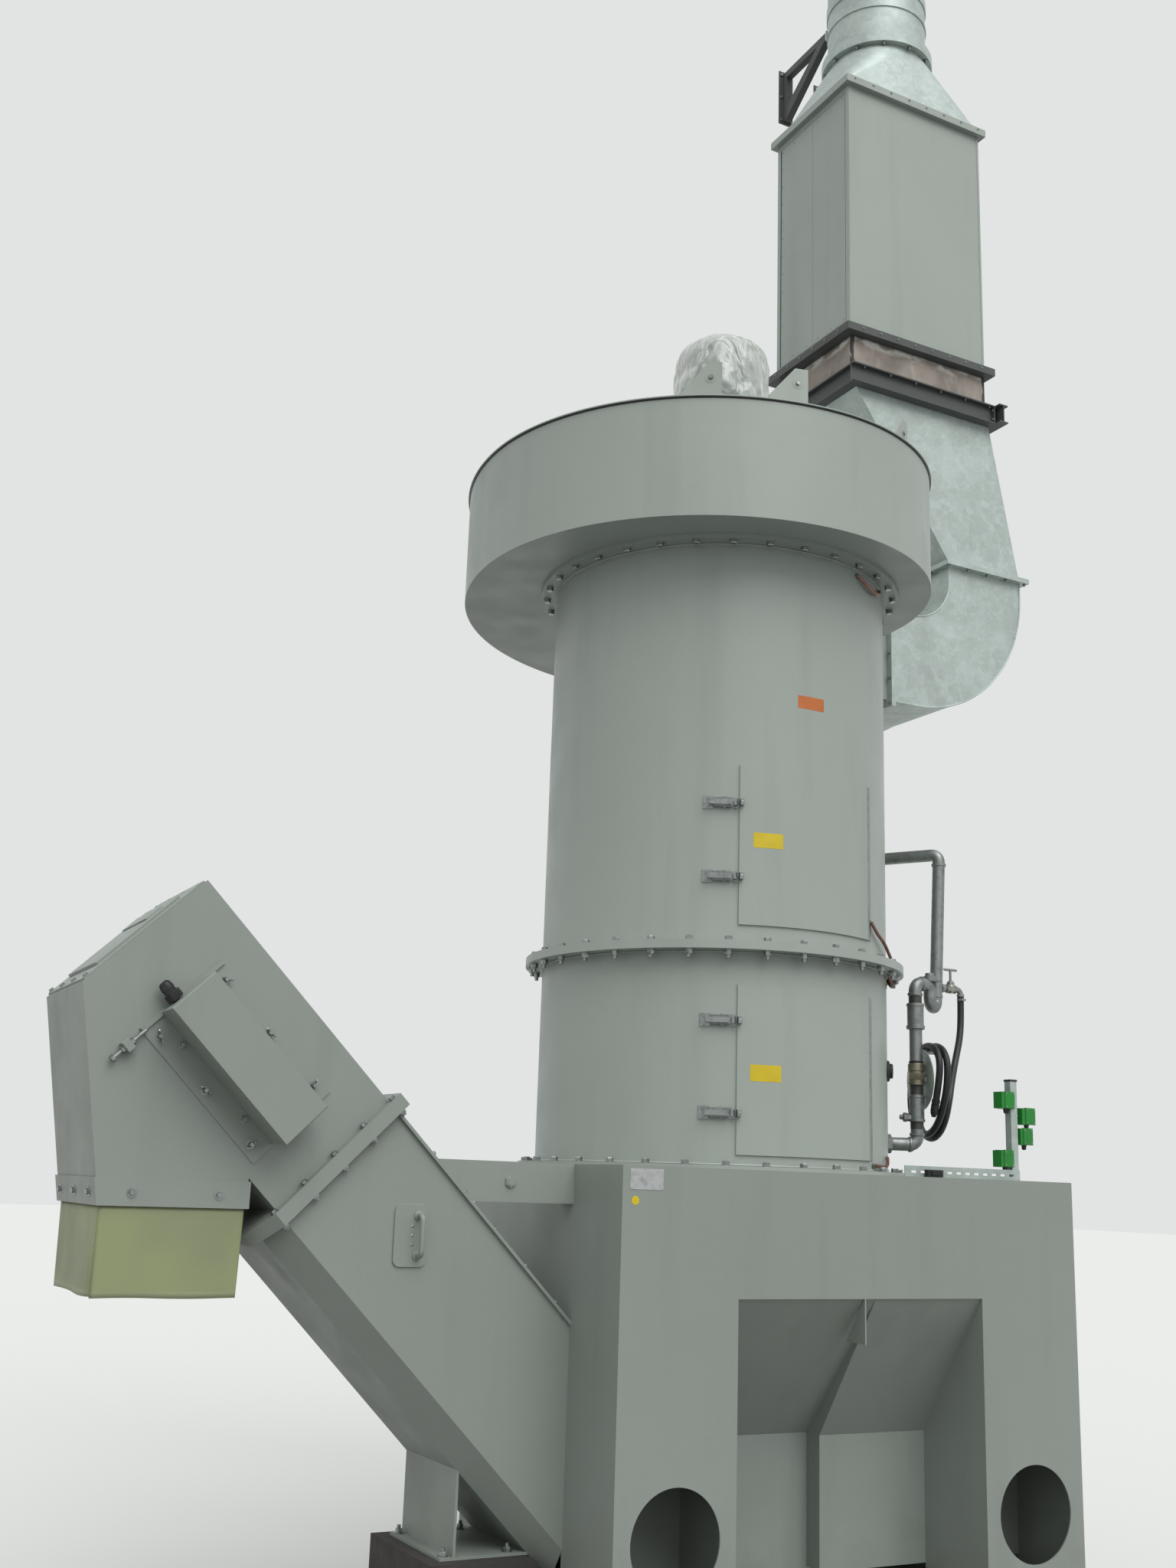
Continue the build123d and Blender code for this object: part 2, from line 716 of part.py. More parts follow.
# Outlet duct: elbow, transition and neck, with bolted flanges
duct_middle = DUCT_FRONT + DUCT_DEPTH / 2
elbow_start = OUTLET_X + DUCT_FLANGE_SHEET
turn_z = scroll_top + ELBOW_THROAT
elbow_heel = ELBOW_THROAT + SCROLL_HEIGHT
rise_left = ELBOW_TURN_X + ELBOW_THROAT
rise_middle = rise_left + SCROLL_HEIGHT / 2


def elbow_profile(inset, overrun):
    """Elbow from the front; overrun lengthens both ends, for the cut that makes it hollow."""
    with BuildSketch(Plane.XZ.offset(-DUCT_FRONT - inset)) as profile:
        with BuildLine():
            Polyline(
                (ELBOW_TURN_X, scroll_top - inset),
                (elbow_start - overrun, scroll_top - inset),
                (elbow_start - overrun, HEAD_FLANGE + inset),
                (ELBOW_TURN_X, HEAD_FLANGE + inset),
            )
            CenterArc((ELBOW_TURN_X, turn_z), elbow_heel - inset, 270, 90)
            Polyline(
                (ELBOW_TURN_X + elbow_heel - inset, turn_z),
                (ELBOW_TURN_X + elbow_heel - inset, ELBOW_TOP + overrun),
                (rise_left + inset, ELBOW_TOP + overrun),
                (rise_left + inset, turn_z),
            )
            CenterArc((ELBOW_TURN_X, turn_z), ELBOW_THROAT + inset, 270, 90)
        make_face()
    return profile.sketch


def flange_ring(width, depth, lip, wall):
    """Rectangular flange of a duct: its lip stands out all round."""
    with BuildSketch() as ring:
        Rectangle(width + 2 * lip, depth + 2 * lip)
        Rectangle(width - 2 * wall, depth - 2 * wall, mode=Mode.SUBTRACT)
    return ring.sketch


outlet_plane = Plane(
    origin=(OUTLET_X, duct_middle, HEAD_FLANGE + SCROLL_HEIGHT / 2),
    x_dir=(0, 1, 0),
    z_dir=(1, 0, 0),
)
outlet_ring = flange_ring(DUCT_DEPTH, SCROLL_HEIGHT, DUCT_FLANGE, DUCT_SHEET)
rise_ring = flange_ring(SCROLL_HEIGHT, DUCT_DEPTH, DUCT_FLANGE, DUCT_SHEET)

with BuildPart() as outlet_flange:
    with BuildSketch(outlet_plane):
        add(outlet_ring)
    extrude(amount=DUCT_FLANGE_SHEET)
finish(outlet_flange.part, "outlet_flange")

with BuildPart() as duct_elbow:
    extrude(elbow_profile(0, 0), amount=-DUCT_DEPTH)
    with BuildSketch(outlet_plane.offset(DUCT_FLANGE_SHEET)):
        add(outlet_ring)
    extrude(amount=DUCT_FLANGE_SHEET)
    with BuildSketch(Plane.XY.offset(ELBOW_TOP)):
        with Locations((rise_middle, duct_middle)):
            add(rise_ring)
    extrude(amount=-DUCT_FLANGE_SHEET)
    extrude(elbow_profile(DUCT_SHEET, FIT), amount=2 * DUCT_SHEET - DUCT_DEPTH, mode=Mode.SUBTRACT)
finish(duct_elbow.part, "duct_elbow")

neck_middle = NECK_LEFT + NECK_WIDTH / 2
transition_base = ELBOW_TOP + DUCT_FLANGE_SHEET


def rise_section(height, inset):
    with BuildSketch(Plane.XY.offset(height)) as section:
        with Locations((rise_middle, duct_middle)):
            Rectangle(SCROLL_HEIGHT - 2 * inset, DUCT_DEPTH - 2 * inset)
    return section.sketch


def neck_section(height, inset):
    with BuildSketch(Plane.XY.offset(height)) as section:
        with Locations((neck_middle, duct_middle)):
            Rectangle(NECK_WIDTH - 2 * inset, DUCT_DEPTH - 2 * inset)
    return section.sketch


with BuildPart() as duct_transition:
    loft([rise_section(transition_base, 0), neck_section(TRANSITION_TOP, 0)], ruled=True)
    extrude(neck_section(TRANSITION_TOP, 0), amount=NECK_TOP - TRANSITION_TOP)
    extrude(neck_section(NECK_TOP, -NECK_FLANGE), amount=-NECK_FLANGE_SHEET)
    with BuildSketch(Plane.XY.offset(ELBOW_TOP)):
        with Locations((rise_middle, duct_middle)):
            add(rise_ring)
    extrude(amount=DUCT_FLANGE_SHEET)
    loft(
        [rise_section(transition_base, DUCT_SHEET), neck_section(TRANSITION_TOP, DUCT_SHEET)],
        ruled=True,
        mode=Mode.SUBTRACT,
    )
    extrude(neck_section(TRANSITION_TOP, DUCT_SHEET), amount=NECK_TOP - TRANSITION_TOP, mode=Mode.SUBTRACT)
finish(duct_transition.part, "duct_transition")

# Support frame of rolled beams around the neck, carried at its rear end plates
neck_right = NECK_LEFT + NECK_WIDTH
frame_left = NECK_LEFT - FIT - BEAM_WIDTH / 2
frame_right = neck_right + FIT + BEAM_WIDTH / 2
frame_front = DUCT_FRONT - FIT - BEAM_WIDTH / 2
frame_back = scroll_back + FIT + BEAM_WIDTH / 2
beam_middle = TRANSITION_TOP + BEAM_HEIGHT / 2


def beam_profile():
    """I section about the sketch's own origin."""
    with BuildSketch() as section:
        Rectangle(BEAM_WEB, BEAM_HEIGHT)
        with GridLocations(0, BEAM_HEIGHT - BEAM_FLANGE, 1, 2):
            Rectangle(BEAM_WIDTH, BEAM_FLANGE)
    return section.sketch


def side_beam(name, beam_x, length):
    """Beam from its rear end plate to the front."""
    with BuildPart() as rolled:
        with BuildSketch(Plane.XZ.offset(-WALL_Y)):
            with Locations((beam_x, beam_middle)):
                add(beam_profile())
        extrude(amount=length)
        with BuildSketch(Plane.XZ.offset(-WALL_Y)):
            with Locations((beam_x, beam_middle)):
                Rectangle(BEAM_PLATE, BEAM_PLATE)
        extrude(amount=BEAM_FLANGE)
    finish(rolled.part, name)


# The side beams run from their end plates to the front; the front and rear beams stand between them
side_end = frame_front + BEAM_WIDTH / 2
side_beam("frame_left_beam", frame_left, WALL_Y - side_end)
side_beam("frame_right_beam", frame_right, WALL_Y - side_end + BEAM_WIDTH + BEAM_OVERHANG)
cross_left = frame_left - BEAM_WIDTH / 2
cross_right = frame_right - BEAM_WIDTH / 2
with BuildPart() as frame_cross_beams:
    for cross_y, cross_start in ((frame_front, cross_left), (frame_back, cross_left + BEAM_WIDTH)):
        with BuildSketch(Plane.YZ.offset(cross_start)):
            with Locations((cross_y, beam_middle)):
                add(beam_profile())
        extrude(amount=cross_right - cross_start)
finish(frame_cross_beams.part, "frame_cross_beams")

# Braces under the side beams, from their rear feet up to the beam
with BuildPart() as frame_braces:
    for brace_x in (frame_left - BRACE_WIDTH / 2, frame_right - BRACE_WIDTH / 2):
        with BuildSketch(Plane.YZ.offset(brace_x)):
            with BuildLine():
                Polyline(
                    (WALL_Y, TRANSITION_TOP - BRACE_DROP),
                    (WALL_Y, TRANSITION_TOP - BRACE_DROP + BRACE_DEPTH),
                    (WALL_Y - BRACE_DROP + BRACE_DEPTH, TRANSITION_TOP),
                    (WALL_Y - BRACE_DROP, TRANSITION_TOP),
                    close=True,
                )
            make_face()
        extrude(amount=BRACE_WIDTH)
finish(frame_braces.part, "frame_braces")

# Flexible joint above the neck
with BuildPart() as compensator:
    with BuildSketch(Plane.XY.offset(NECK_TOP)):
        with Locations((COMPENSATOR_LEFT + NECK_WIDTH / 2, duct_middle)):
            Rectangle(NECK_WIDTH, DUCT_DEPTH)
            Rectangle(
                NECK_WIDTH - 2 * COMPENSATOR_SHEET,
                DUCT_DEPTH - 2 * COMPENSATOR_SHEET,
                mode=Mode.SUBTRACT,
            )
    extrude(amount=SILENCER_BASE - NECK_TOP)
finish(compensator.part, "compensator")

# Silencer: casing between two angle rings
silencer_middle = SILENCER_LEFT + SILENCER_WIDTH / 2
silencer_depth = DUCT_DEPTH + 2 * SILENCER_OVERHANG
casing_base = SILENCER_BASE + RING_HEIGHT


def silencer_ring(name, base, lip):
    """Angle ring: it stands out by its lip and reaches inwards under the casing."""
    with BuildPart() as ring:
        with BuildSketch(Plane.XY.offset(base)):
            with Locations((silencer_middle, duct_middle)):
                Rectangle(SILENCER_WIDTH + 2 * lip, silencer_depth + 2 * lip)
                Rectangle(
                    SILENCER_WIDTH - 2 * RING_BORDER,
                    silencer_depth - 2 * RING_BORDER,
                    mode=Mode.SUBTRACT,
                )
        extrude(amount=RING_HEIGHT)
    finish(ring.part, name)


silencer_inner = (SILENCER_WIDTH - 2 * SILENCER_PANEL, silencer_depth - 2 * SILENCER_PANEL)
silencer_ring("silencer_base_ring", SILENCER_BASE, SILENCER_BASE_LIP)
silencer_ring("silencer_top_ring", SILENCER_TOP, SILENCER_TOP_LIP)

with BuildPart() as silencer_casing:
    with BuildSketch(Plane.XY.offset(casing_base)):
        with Locations((silencer_middle, duct_middle)):
            Rectangle(SILENCER_WIDTH, silencer_depth)
            Rectangle(*silencer_inner, mode=Mode.SUBTRACT)
    extrude(amount=SILENCER_TOP - casing_base)
finish(silencer_casing.part, "silencer_casing")

# Square to round, with its ring
round_base = SILENCER_TOP + RING_HEIGHT


def square_section(inset):
    with BuildSketch(Plane.XY.offset(round_base)) as section:
        with Locations((silencer_middle, duct_middle)):
            RectangleRounded(
                SILENCER_WIDTH - 2 * inset,
                silencer_depth - 2 * inset,
                CORNER_BEND,
            )
    return section.sketch


def round_section(inset):
    """Circle with four very short flats, so that each side of the square lofts to its own flat."""
    diameter = 2 * (STACK_RADIUS - inset)
    with BuildSketch(Plane.XY.offset(ROUND_TOP)) as section:
        with Locations((silencer_middle, duct_middle)):
            RectangleRounded(diameter, diameter, diameter / 2 - ROUND_FLAT)
    return section.sketch


def stack_ring_flange(base):
    with BuildSketch(Plane.XY.offset(base)) as ring:
        with Locations((silencer_middle, duct_middle)):
            Circle(STACK_RADIUS + STACK_RING)
            Circle(STACK_RADIUS - STACK_SHEET, mode=Mode.SUBTRACT)
            with PolarLocations(STACK_RADIUS + STACK_RING / 2, STACK_BOLTS):
                Circle(BOLT_HOLE / 2, mode=Mode.SUBTRACT)
    return ring.sketch


with BuildPart() as square_to_round:
    loft([square_section(0), round_section(0)], ruled=True)
    loft([square_section(STACK_SHEET), round_section(STACK_SHEET)], ruled=True, mode=Mode.SUBTRACT)
    extrude(stack_ring_flange(ROUND_TOP), amount=STACK_FLANGE_SHEET)
finish(square_to_round.part, "square_to_round")

# Stack with a bead at its seam
stack_base = ROUND_TOP + STACK_FLANGE_SHEET
with BuildPart() as stack_pipe:
    extrude(stack_ring_flange(stack_base), amount=STACK_FLANGE_SHEET)
    with BuildSketch(Plane.XY.offset(stack_base)):
        with Locations((silencer_middle, duct_middle)):
            Circle(STACK_RADIUS)
            Circle(STACK_RADIUS - STACK_SHEET, mode=Mode.SUBTRACT)
    extrude(amount=STACK_TOP - stack_base)
    with BuildSketch(Plane.XY.offset(STACK_SEAM)):
        with Locations((silencer_middle, duct_middle)):
            Circle(STACK_RADIUS + SEAM_BEAD)
            Circle(STACK_RADIUS - STACK_SHEET, mode=Mode.SUBTRACT)
    extrude(amount=2 * SEAM_BEAD)
finish(stack_pipe.part, "stack_pipe")

# Clamp around the stack and the two wall consoles that carry it
clamp_radius = STACK_RADIUS + FIT + CLAMP_SHEET
clamp_back = duct_middle + clamp_radius
with BuildPart() as stack_clamp:
    with BuildSketch(Plane.XY.offset(CONSOLE_Z - CLAMP_HEIGHT / 2)):
        with Locations((silencer_middle, clamp_back - CLAMP_SHEET / 2)):
            Rectangle(CONSOLE_SPACING + CONSOLE_BAR, 2 * CLAMP_SHEET)
        with Locations((silencer_middle, duct_middle)):
            Circle(clamp_radius)
            Circle(STACK_RADIUS + FIT, mode=Mode.SUBTRACT)
    extrude(amount=CLAMP_HEIGHT)
finish(stack_clamp.part, "stack_clamp")

arm_top = CONSOLE_Z + CONSOLE_BAR / 2
arm_front = clamp_back + CLAMP_SHEET / 2
console_foot = arm_top - CONSOLE_HEIGHT
with BuildPart() as wall_consoles:
    for console_x in (silencer_middle - CONSOLE_SPACING / 2, silencer_middle + CONSOLE_SPACING / 2):
        with BuildSketch(Plane.YZ.offset(console_x - CONSOLE_BAR / 2)):
            with BuildLine():
                Polyline(
                    (arm_front, arm_top),
                    (WALL_Y, arm_top),
                    (WALL_Y, console_foot),
                    (WALL_Y - CONSOLE_BAR, console_foot),
                    (arm_front, arm_top - CONSOLE_BAR),
                    close=True,
                )
            make_face()
            with BuildLine():
                Polyline(
                    (arm_front + 2 * CONSOLE_BAR, arm_top - CONSOLE_BAR),
                    (WALL_Y - CONSOLE_BAR, arm_top - CONSOLE_BAR),
                    (WALL_Y - CONSOLE_BAR, console_foot + 2 * CONSOLE_BAR),
                    close=True,
                )
            make_face(mode=Mode.SUBTRACT)
        extrude(amount=CONSOLE_BAR)
finish(wall_consoles.part, "wall_consoles")

# Scraper conveyor: trough from the tank up to the discharge hood, on a foot and a plinth
conveyor_middle = CONVEYOR_FRONT + CONVEYOR_WIDTH / 2
side_bottom = CONVEYOR_TOP - CONVEYOR_DEPTH
trough_bottom = side_bottom - CONVEYOR_CHAMFER
hood_start = CONVEYOR_FLANGE_RUN + CONVEYOR_FLANGE_LENGTH
DIAGONAL = sqrt(2)


def on_slope(run, height):
    """Side view point (x, z) from the run along the conveyor and the height square to it."""
    return ((height - run) / DIAGONAL, (height + run) / DIAGONAL)


def trough_plane(run):
    """Plane across the conveyor: local x towards the viewer, local y square to the conveyor, upwards."""
    x, z = on_slope(run, 0)
    return Plane(origin=(x, 0, z), x_dir=(0, -1, 0), z_dir=(-1, 0, 1))


def trough_outline(run, grow, top):
    """Section of the trough: straight sides chamfered towards a flat bottom, grown all round."""
    near = grow - CONVEYOR_FRONT
    far = -conveyor_back - grow
    bend = side_bottom - grow * (DIAGONAL - 1)
    bottom = trough_bottom - grow
    chamfer_run = bend - bottom
    with BuildSketch(trough_plane(run)) as section:
        with BuildLine():
            Polyline(
                (far, top),
                (far, bend),
                (far + chamfer_run, bottom),
                (near - chamfer_run, bottom),
                (near, bend),
                (near, top),
                close=True,
            )
        make_face()
    return section.sketch


def side_view(points, front, width):
    """Solid with one outline in side view, from its front face towards the back."""
    with BuildPart(mode=Mode.PRIVATE) as solid:
        with BuildSketch(Plane.XZ.offset(-front)):
            with BuildLine():
                Polyline(*points, close=True)
            make_face()
        extrude(amount=-width)
    return solid.part


beyond_tank = Plane.YZ.offset(-half_width)
trough_start = half_width * DIAGONAL + trough_bottom
with BuildPart() as conveyor_trough:
    extrude(trough_outline(trough_start, 0, CONVEYOR_TOP), amount=CONVEYOR_FLANGE_RUN - trough_start)
    with BuildSketch(trough_plane(trough_start)):
        with Locations((-conveyor_middle, CONVEYOR_TOP)):
            Rectangle(CONVEYOR_WIDTH + 2 * COVER_LIP, CONVEYOR_SHEET, align=(Align.CENTER, Align.MAX))
    extrude(amount=CONVEYOR_FLANGE_RUN - trough_start)
    extrude(
        trough_outline(trough_start, -CONVEYOR_SHEET, CONVEYOR_TOP + FIT),
        amount=CONVEYOR_FLANGE_RUN - trough_start - CONVEYOR_SHEET,
        mode=Mode.SUBTRACT,
    )
    with BuildSketch(trough_plane(CONVEYOR_FLANGE_RUN)):
        with Locations((-conveyor_middle, CONVEYOR_TOP)):
            Rectangle(
                CONVEYOR_WIDTH - 2 * CONVEYOR_SHEET,
                2 * (CONVEYOR_DEPTH - CONVEYOR_SHEET),
            )
    extrude(amount=-2 * CONVEYOR_SHEET, mode=Mode.SUBTRACT)
    split(bisect_by=beyond_tank, keep=Keep.BOTTOM)
finish(conveyor_trough.part, "conveyor_trough")

with BuildPart() as trough_cover:
    with BuildSketch(trough_plane(trough_start)):
        with Locations((-conveyor_middle, CONVEYOR_TOP)):
            Rectangle(CONVEYOR_WIDTH + 2 * COVER_LIP, COVER_SHEET, align=(Align.CENTER, Align.MIN))
    extrude(amount=CONVEYOR_FLANGE_RUN - trough_start)
    split(bisect_by=beyond_tank, keep=Keep.BOTTOM)
finish(trough_cover.part, "trough_cover")

with BuildPart() as conveyor_flange:
    extrude(
        trough_outline(CONVEYOR_FLANGE_RUN, CONVEYOR_FLANGE_LIP, CONVEYOR_TOP + CONVEYOR_FLANGE_LIP),
        amount=CONVEYOR_FLANGE_LENGTH,
    )
    with BuildSketch(trough_plane(CONVEYOR_FLANGE_RUN)):
        with Locations((-conveyor_middle, (CONVEYOR_TOP + side_bottom) / 2)):
            Rectangle(CONVEYOR_WIDTH - 2 * CONVEYOR_SHEET, CONVEYOR_DEPTH - 2 * CONVEYOR_SHEET)
    extrude(amount=CONVEYOR_FLANGE_LENGTH, mode=Mode.SUBTRACT)
finish(conveyor_flange.part, "conveyor_flange")

# Discharge hood: its end and mouth edges are given where they are, the rest follows the conveyor
wall_foot = side_bottom * DIAGONAL - HOOD_MOUTH_RIGHT
hood_end_top = on_slope(CONVEYOR_END_RUN, CONVEYOR_TOP)
hood_end_bottom = on_slope(CONVEYOR_END_RUN, side_bottom)
hood_outline = [
    on_slope(hood_start, CONVEYOR_TOP),
    hood_end_top,
    hood_end_bottom,
    (HOOD_MOUTH_LEFT, HOOD_MOUTH_Z),
    (HOOD_MOUTH_RIGHT, HOOD_MOUTH_Z),
    (HOOD_MOUTH_RIGHT, wall_foot),
    on_slope(hood_start, side_bottom),
]
hood_solid = side_view(hood_outline, CONVEYOR_FRONT, CONVEYOR_WIDTH)
with BuildPart() as discharge_hood:
    add(hood_solid)
    mouth_face = discharge_hood.faces().sort_by(Axis.Z)[0]
    slope_axis = Axis((0, 0, 0), (-1, 0, 1))
    start_face = discharge_hood.faces().filter_by(slope_axis).sort_by(slope_axis)[0]
    offset(amount=-CONVEYOR_SHEET, openings=[mouth_face, start_face])
finish(discharge_hood.part, "discharge_hood")

# Lid on the hood's end, set back a little from its edges
with BuildPart() as hood_lid:
    with BuildSketch(trough_plane(CONVEYOR_END_RUN)):
        with Locations((-conveyor_middle, (CONVEYOR_TOP + side_bottom) / 2)):
            Rectangle(CONVEYOR_WIDTH - 2 * LID_MARGIN, CONVEYOR_DEPTH - 2 * LID_MARGIN)
    extrude(amount=LID_SHEET)
finish(hood_lid.part, "hood_lid")

# Clamp band around the mouth and the soft skirt below it
mouth_slope = (hood_end_bottom[0] - HOOD_MOUTH_LEFT) / (hood_end_bottom[1] - HOOD_MOUTH_Z)
band_top = HOOD_MOUTH_Z + MOUTH_BAND
band_left = HOOD_MOUTH_LEFT - MOUTH_BAND_SHEET
band_outline = [
    (band_left, HOOD_MOUTH_Z),
    (HOOD_MOUTH_RIGHT + MOUTH_BAND_SHEET, HOOD_MOUTH_Z),
    (HOOD_MOUTH_RIGHT + MOUTH_BAND_SHEET, band_top),
    (band_left + mouth_slope * MOUTH_BAND, band_top),
]
with BuildPart() as mouth_band:
    add(side_view(band_outline, CONVEYOR_FRONT - MOUTH_BAND_SHEET, CONVEYOR_WIDTH + 2 * MOUTH_BAND_SHEET))
    add(hood_solid, mode=Mode.SUBTRACT)
finish(mouth_band.part, "mouth_band")

mouth_middle = (HOOD_MOUTH_LEFT + HOOD_MOUTH_RIGHT) / 2
mouth_length = HOOD_MOUTH_RIGHT - HOOD_MOUTH_LEFT
with BuildPart() as discharge_skirt:
    with BuildSketch(Plane.XY.offset(SKIRT_BOTTOM)):
        with Locations((mouth_middle, conveyor_middle)):
            Rectangle(mouth_length, CONVEYOR_WIDTH)
            Rectangle(mouth_length - 2 * SKIRT_SHEET, CONVEYOR_WIDTH - 2 * SKIRT_SHEET, mode=Mode.SUBTRACT)
    extrude(amount=HOOD_MOUTH_Z - SKIRT_BOTTOM)
finish(discharge_skirt.part, "discharge_skirt")

# Guard on the hood's side: a plate with a box, along the conveyor
guard_plane = Plane(
    origin=(COVER_CENTRE[0], CONVEYOR_FRONT, COVER_CENTRE[1]),
    x_dir=(1, 0, -1),
    z_dir=(0, -1, 0),
)
with BuildPart() as side_guard:
    with BuildSketch(guard_plane):
        Rectangle(COVER_LENGTH, COVER_PLATE_WIDTH)
    extrude(amount=COVER_SHEET)
    with BuildSketch(guard_plane):
        Rectangle(COVER_BOX_LENGTH, COVER_BOX_WIDTH)
    extrude(amount=COVER_BOX_DEPTH)
finish(side_guard.part, "side_guard")

# Pull handle on the trough's side: a plate and a bow
handle_plane = Plane(
    origin=(HANDLE_CENTRE[0], CONVEYOR_FRONT, HANDLE_CENTRE[1]),
    x_dir=(1, 0, 0),
    z_dir=(0, -1, 0),
)
with BuildPart() as trough_handle:
    with BuildSketch(handle_plane):
        RectangleRounded(HANDLE_WIDTH, HANDLE_HEIGHT, HANDLE_ROUND)
    extrude(amount=HANDLE_SHEET)
    with BuildSketch(handle_plane.offset(HANDLE_SHEET)):
        with Locations((HANDLE_OFFSET, 0)):
            with GridLocations(0, HANDLE_GRIP - HANDLE_BAR, 1, 2):
                Rectangle(HANDLE_BAR, HANDLE_BAR)
    extrude(amount=HANDLE_REACH - HANDLE_BAR)
    with BuildSketch(handle_plane.offset(HANDLE_REACH + HANDLE_SHEET - HANDLE_BAR)):
        with Locations((HANDLE_OFFSET, 0)):
            Rectangle(HANDLE_BAR, HANDLE_GRIP)
    extrude(amount=HANDLE_BAR)
finish(trough_handle.part, "trough_handle")

# Bracket between the tank and the trough: a channel closed at the front, its end cut to the trough's slope
bracket_top = TANK_HEIGHT
cover_x, cover_z = on_slope(0, CONVEYOR_TOP + COVER_SHEET)
cover_plane = Plane(origin=(cover_x, 0, cover_z), z_dir=(1, 0, 1))
with BuildPart() as tank_bracket:
    with BuildSketch(Plane.YZ.offset(-half_width)):
        with Locations((CONVEYOR_FRONT, bracket_top)):
            Rectangle(BRACKET_SHEET, BRACKET_HEIGHT, align=(Align.MIN, Align.MAX))
            Rectangle(BRACKET_DEPTH, BRACKET_SHEET, align=(Align.MIN, Align.MAX))
        with Locations((CONVEYOR_FRONT, bracket_top - BRACKET_HEIGHT)):
            Rectangle(BRACKET_DEPTH, BRACKET_SHEET, align=(Align.MIN, Align.MIN))
    extrude(amount=-BRACKET_REACH)
    with BuildSketch(Plane.XZ.offset(-CONVEYOR_FRONT)):
        with Locations((BRACKET_HOLE_X, bracket_top - BRACKET_HEIGHT / 2)):
            Circle(BRACKET_HOLE / 2)
    extrude(amount=-BRACKET_SHEET, mode=Mode.SUBTRACT)
    split(bisect_by=cover_plane, keep=Keep.TOP)
finish(tank_bracket.part, "tank_bracket")

# Foot under the trough and the block it stands on, set out from the tank's side. The foot's plate ends
# where it meets the trough's bottom, a gap away from the tank.
bottom_sum = trough_bottom * DIAGONAL
foot_left = -half_width - FOOT_REACH
foot_right = -half_width - FOOT_GAP
foot_post = foot_left + FOOT_POST_INSET
plinth_top = bottom_sum - foot_right
foot_bottom = plinth_top + FOOT_SHEET
with BuildPart() as conveyor_foot:
    add(
        side_view(
            [
                (foot_left, plinth_top),
                (foot_right, plinth_top),
                (foot_right - FOOT_SHEET, foot_bottom),
                (foot_left, foot_bottom),
            ],
            FOOT_FRONT,
            FOOT_WIDTH,
        )
    )
    add(
        side_view(
            [
                (foot_post, foot_bottom),
                (foot_post + FOOT_SHEET, foot_bottom),
                (foot_post + FOOT_SHEET, bottom_sum - foot_post - FOOT_SHEET),
                (foot_post, bottom_sum - foot_post),
            ],
            FOOT_FRONT,
            FOOT_WIDTH,
        )
    )
finish(conveyor_foot.part, "conveyor_foot")

# The block stands clear of the trough's bottom where that comes down beside it
plinth_left = foot_left - PLINTH_MARGIN
plinth_right = -half_width - PLINTH_GAP
clear_sum = bottom_sum - PLINTH_CLEARANCE * DIAGONAL
plinth_outline = [
    (plinth_left, 0),
    (plinth_right, 0),
    (plinth_right, clear_sum - plinth_right),
    (clear_sum - plinth_top, plinth_top),
    (plinth_left, plinth_top),
]
plinth = side_view(plinth_outline, FOOT_FRONT - PLINTH_MARGIN, FOOT_WIDTH + 2 * PLINTH_MARGIN)
finish(plinth, "conveyor_plinth")

# Water pipes beside the tower, of one bore: a standpipe, its tee and bend, and the riser up to the feed
standpipe = (STANDPIPE_X, STANDPIPE_Y)
tee = (TEE_X, TEE_Y)
tee_bottom = STANDPIPE_TOP - TEE_DROP
riser_foot = (RISER_X, RISER_Y, tee_bottom)
riser_head = (RISER_X + RISER_LEAN, RISER_Y, RISER_TOP)
riser_way = (RISER_LEAN, 0, RISER_TOP - tee_bottom)
standpipe_distance = hypot(*standpipe)
nipple_start = [TOWER_RADIUS / standpipe_distance * c for c in standpipe]
riser_turn = radians(FEED_ANGLE)
feed_end = (
    (TOWER_RADIUS + FIT) * cos(riser_turn),
    (TOWER_RADIUS + FIT) * sin(riser_turn),
)


def pipe(points, radius, bend):
    """Round bar along straight runs joined by bends."""
    with BuildPart(mode=Mode.PRIVATE) as bar:
        with BuildLine() as way:
            FilletPolyline(*points, radius=bend)
        with BuildSketch(Plane(origin=way.line @ 0, z_dir=way.line % 0)):
            Circle(radius)
        sweep()
    return bar.part


with BuildPart() as water_pipes:
    add(
        pipe(
            [
                (*nipple_start, STANDPIPE_BOTTOM),
                (*standpipe, STANDPIPE_BOTTOM),
                (*standpipe, STANDPIPE_TOP),
                (*tee, STANDPIPE_TOP),
                (*tee, tee_bottom),
                riser_foot,
                riser_head,
                (*feed_end, RISER_TOP),
            ],
            PIPE_RADIUS,
            PIPE_BEND,
        )
    )
    for sleeve_rise, sleeve_height, sleeve_radius in SLEEVES:
        with BuildSketch(Plane.XY.offset(TANK_HEIGHT + sleeve_rise)):
            with Locations(standpipe):
                Circle(sleeve_radius)
        extrude(amount=sleeve_height)
    with BuildSketch(Plane.XY.offset(TANK_HEIGHT)):
        Circle(TOWER_RADIUS + FIT)
    extrude(amount=HEAD_FLANGE - TANK_HEIGHT, mode=Mode.SUBTRACT)
finish(water_pipes.part, "water_pipes")

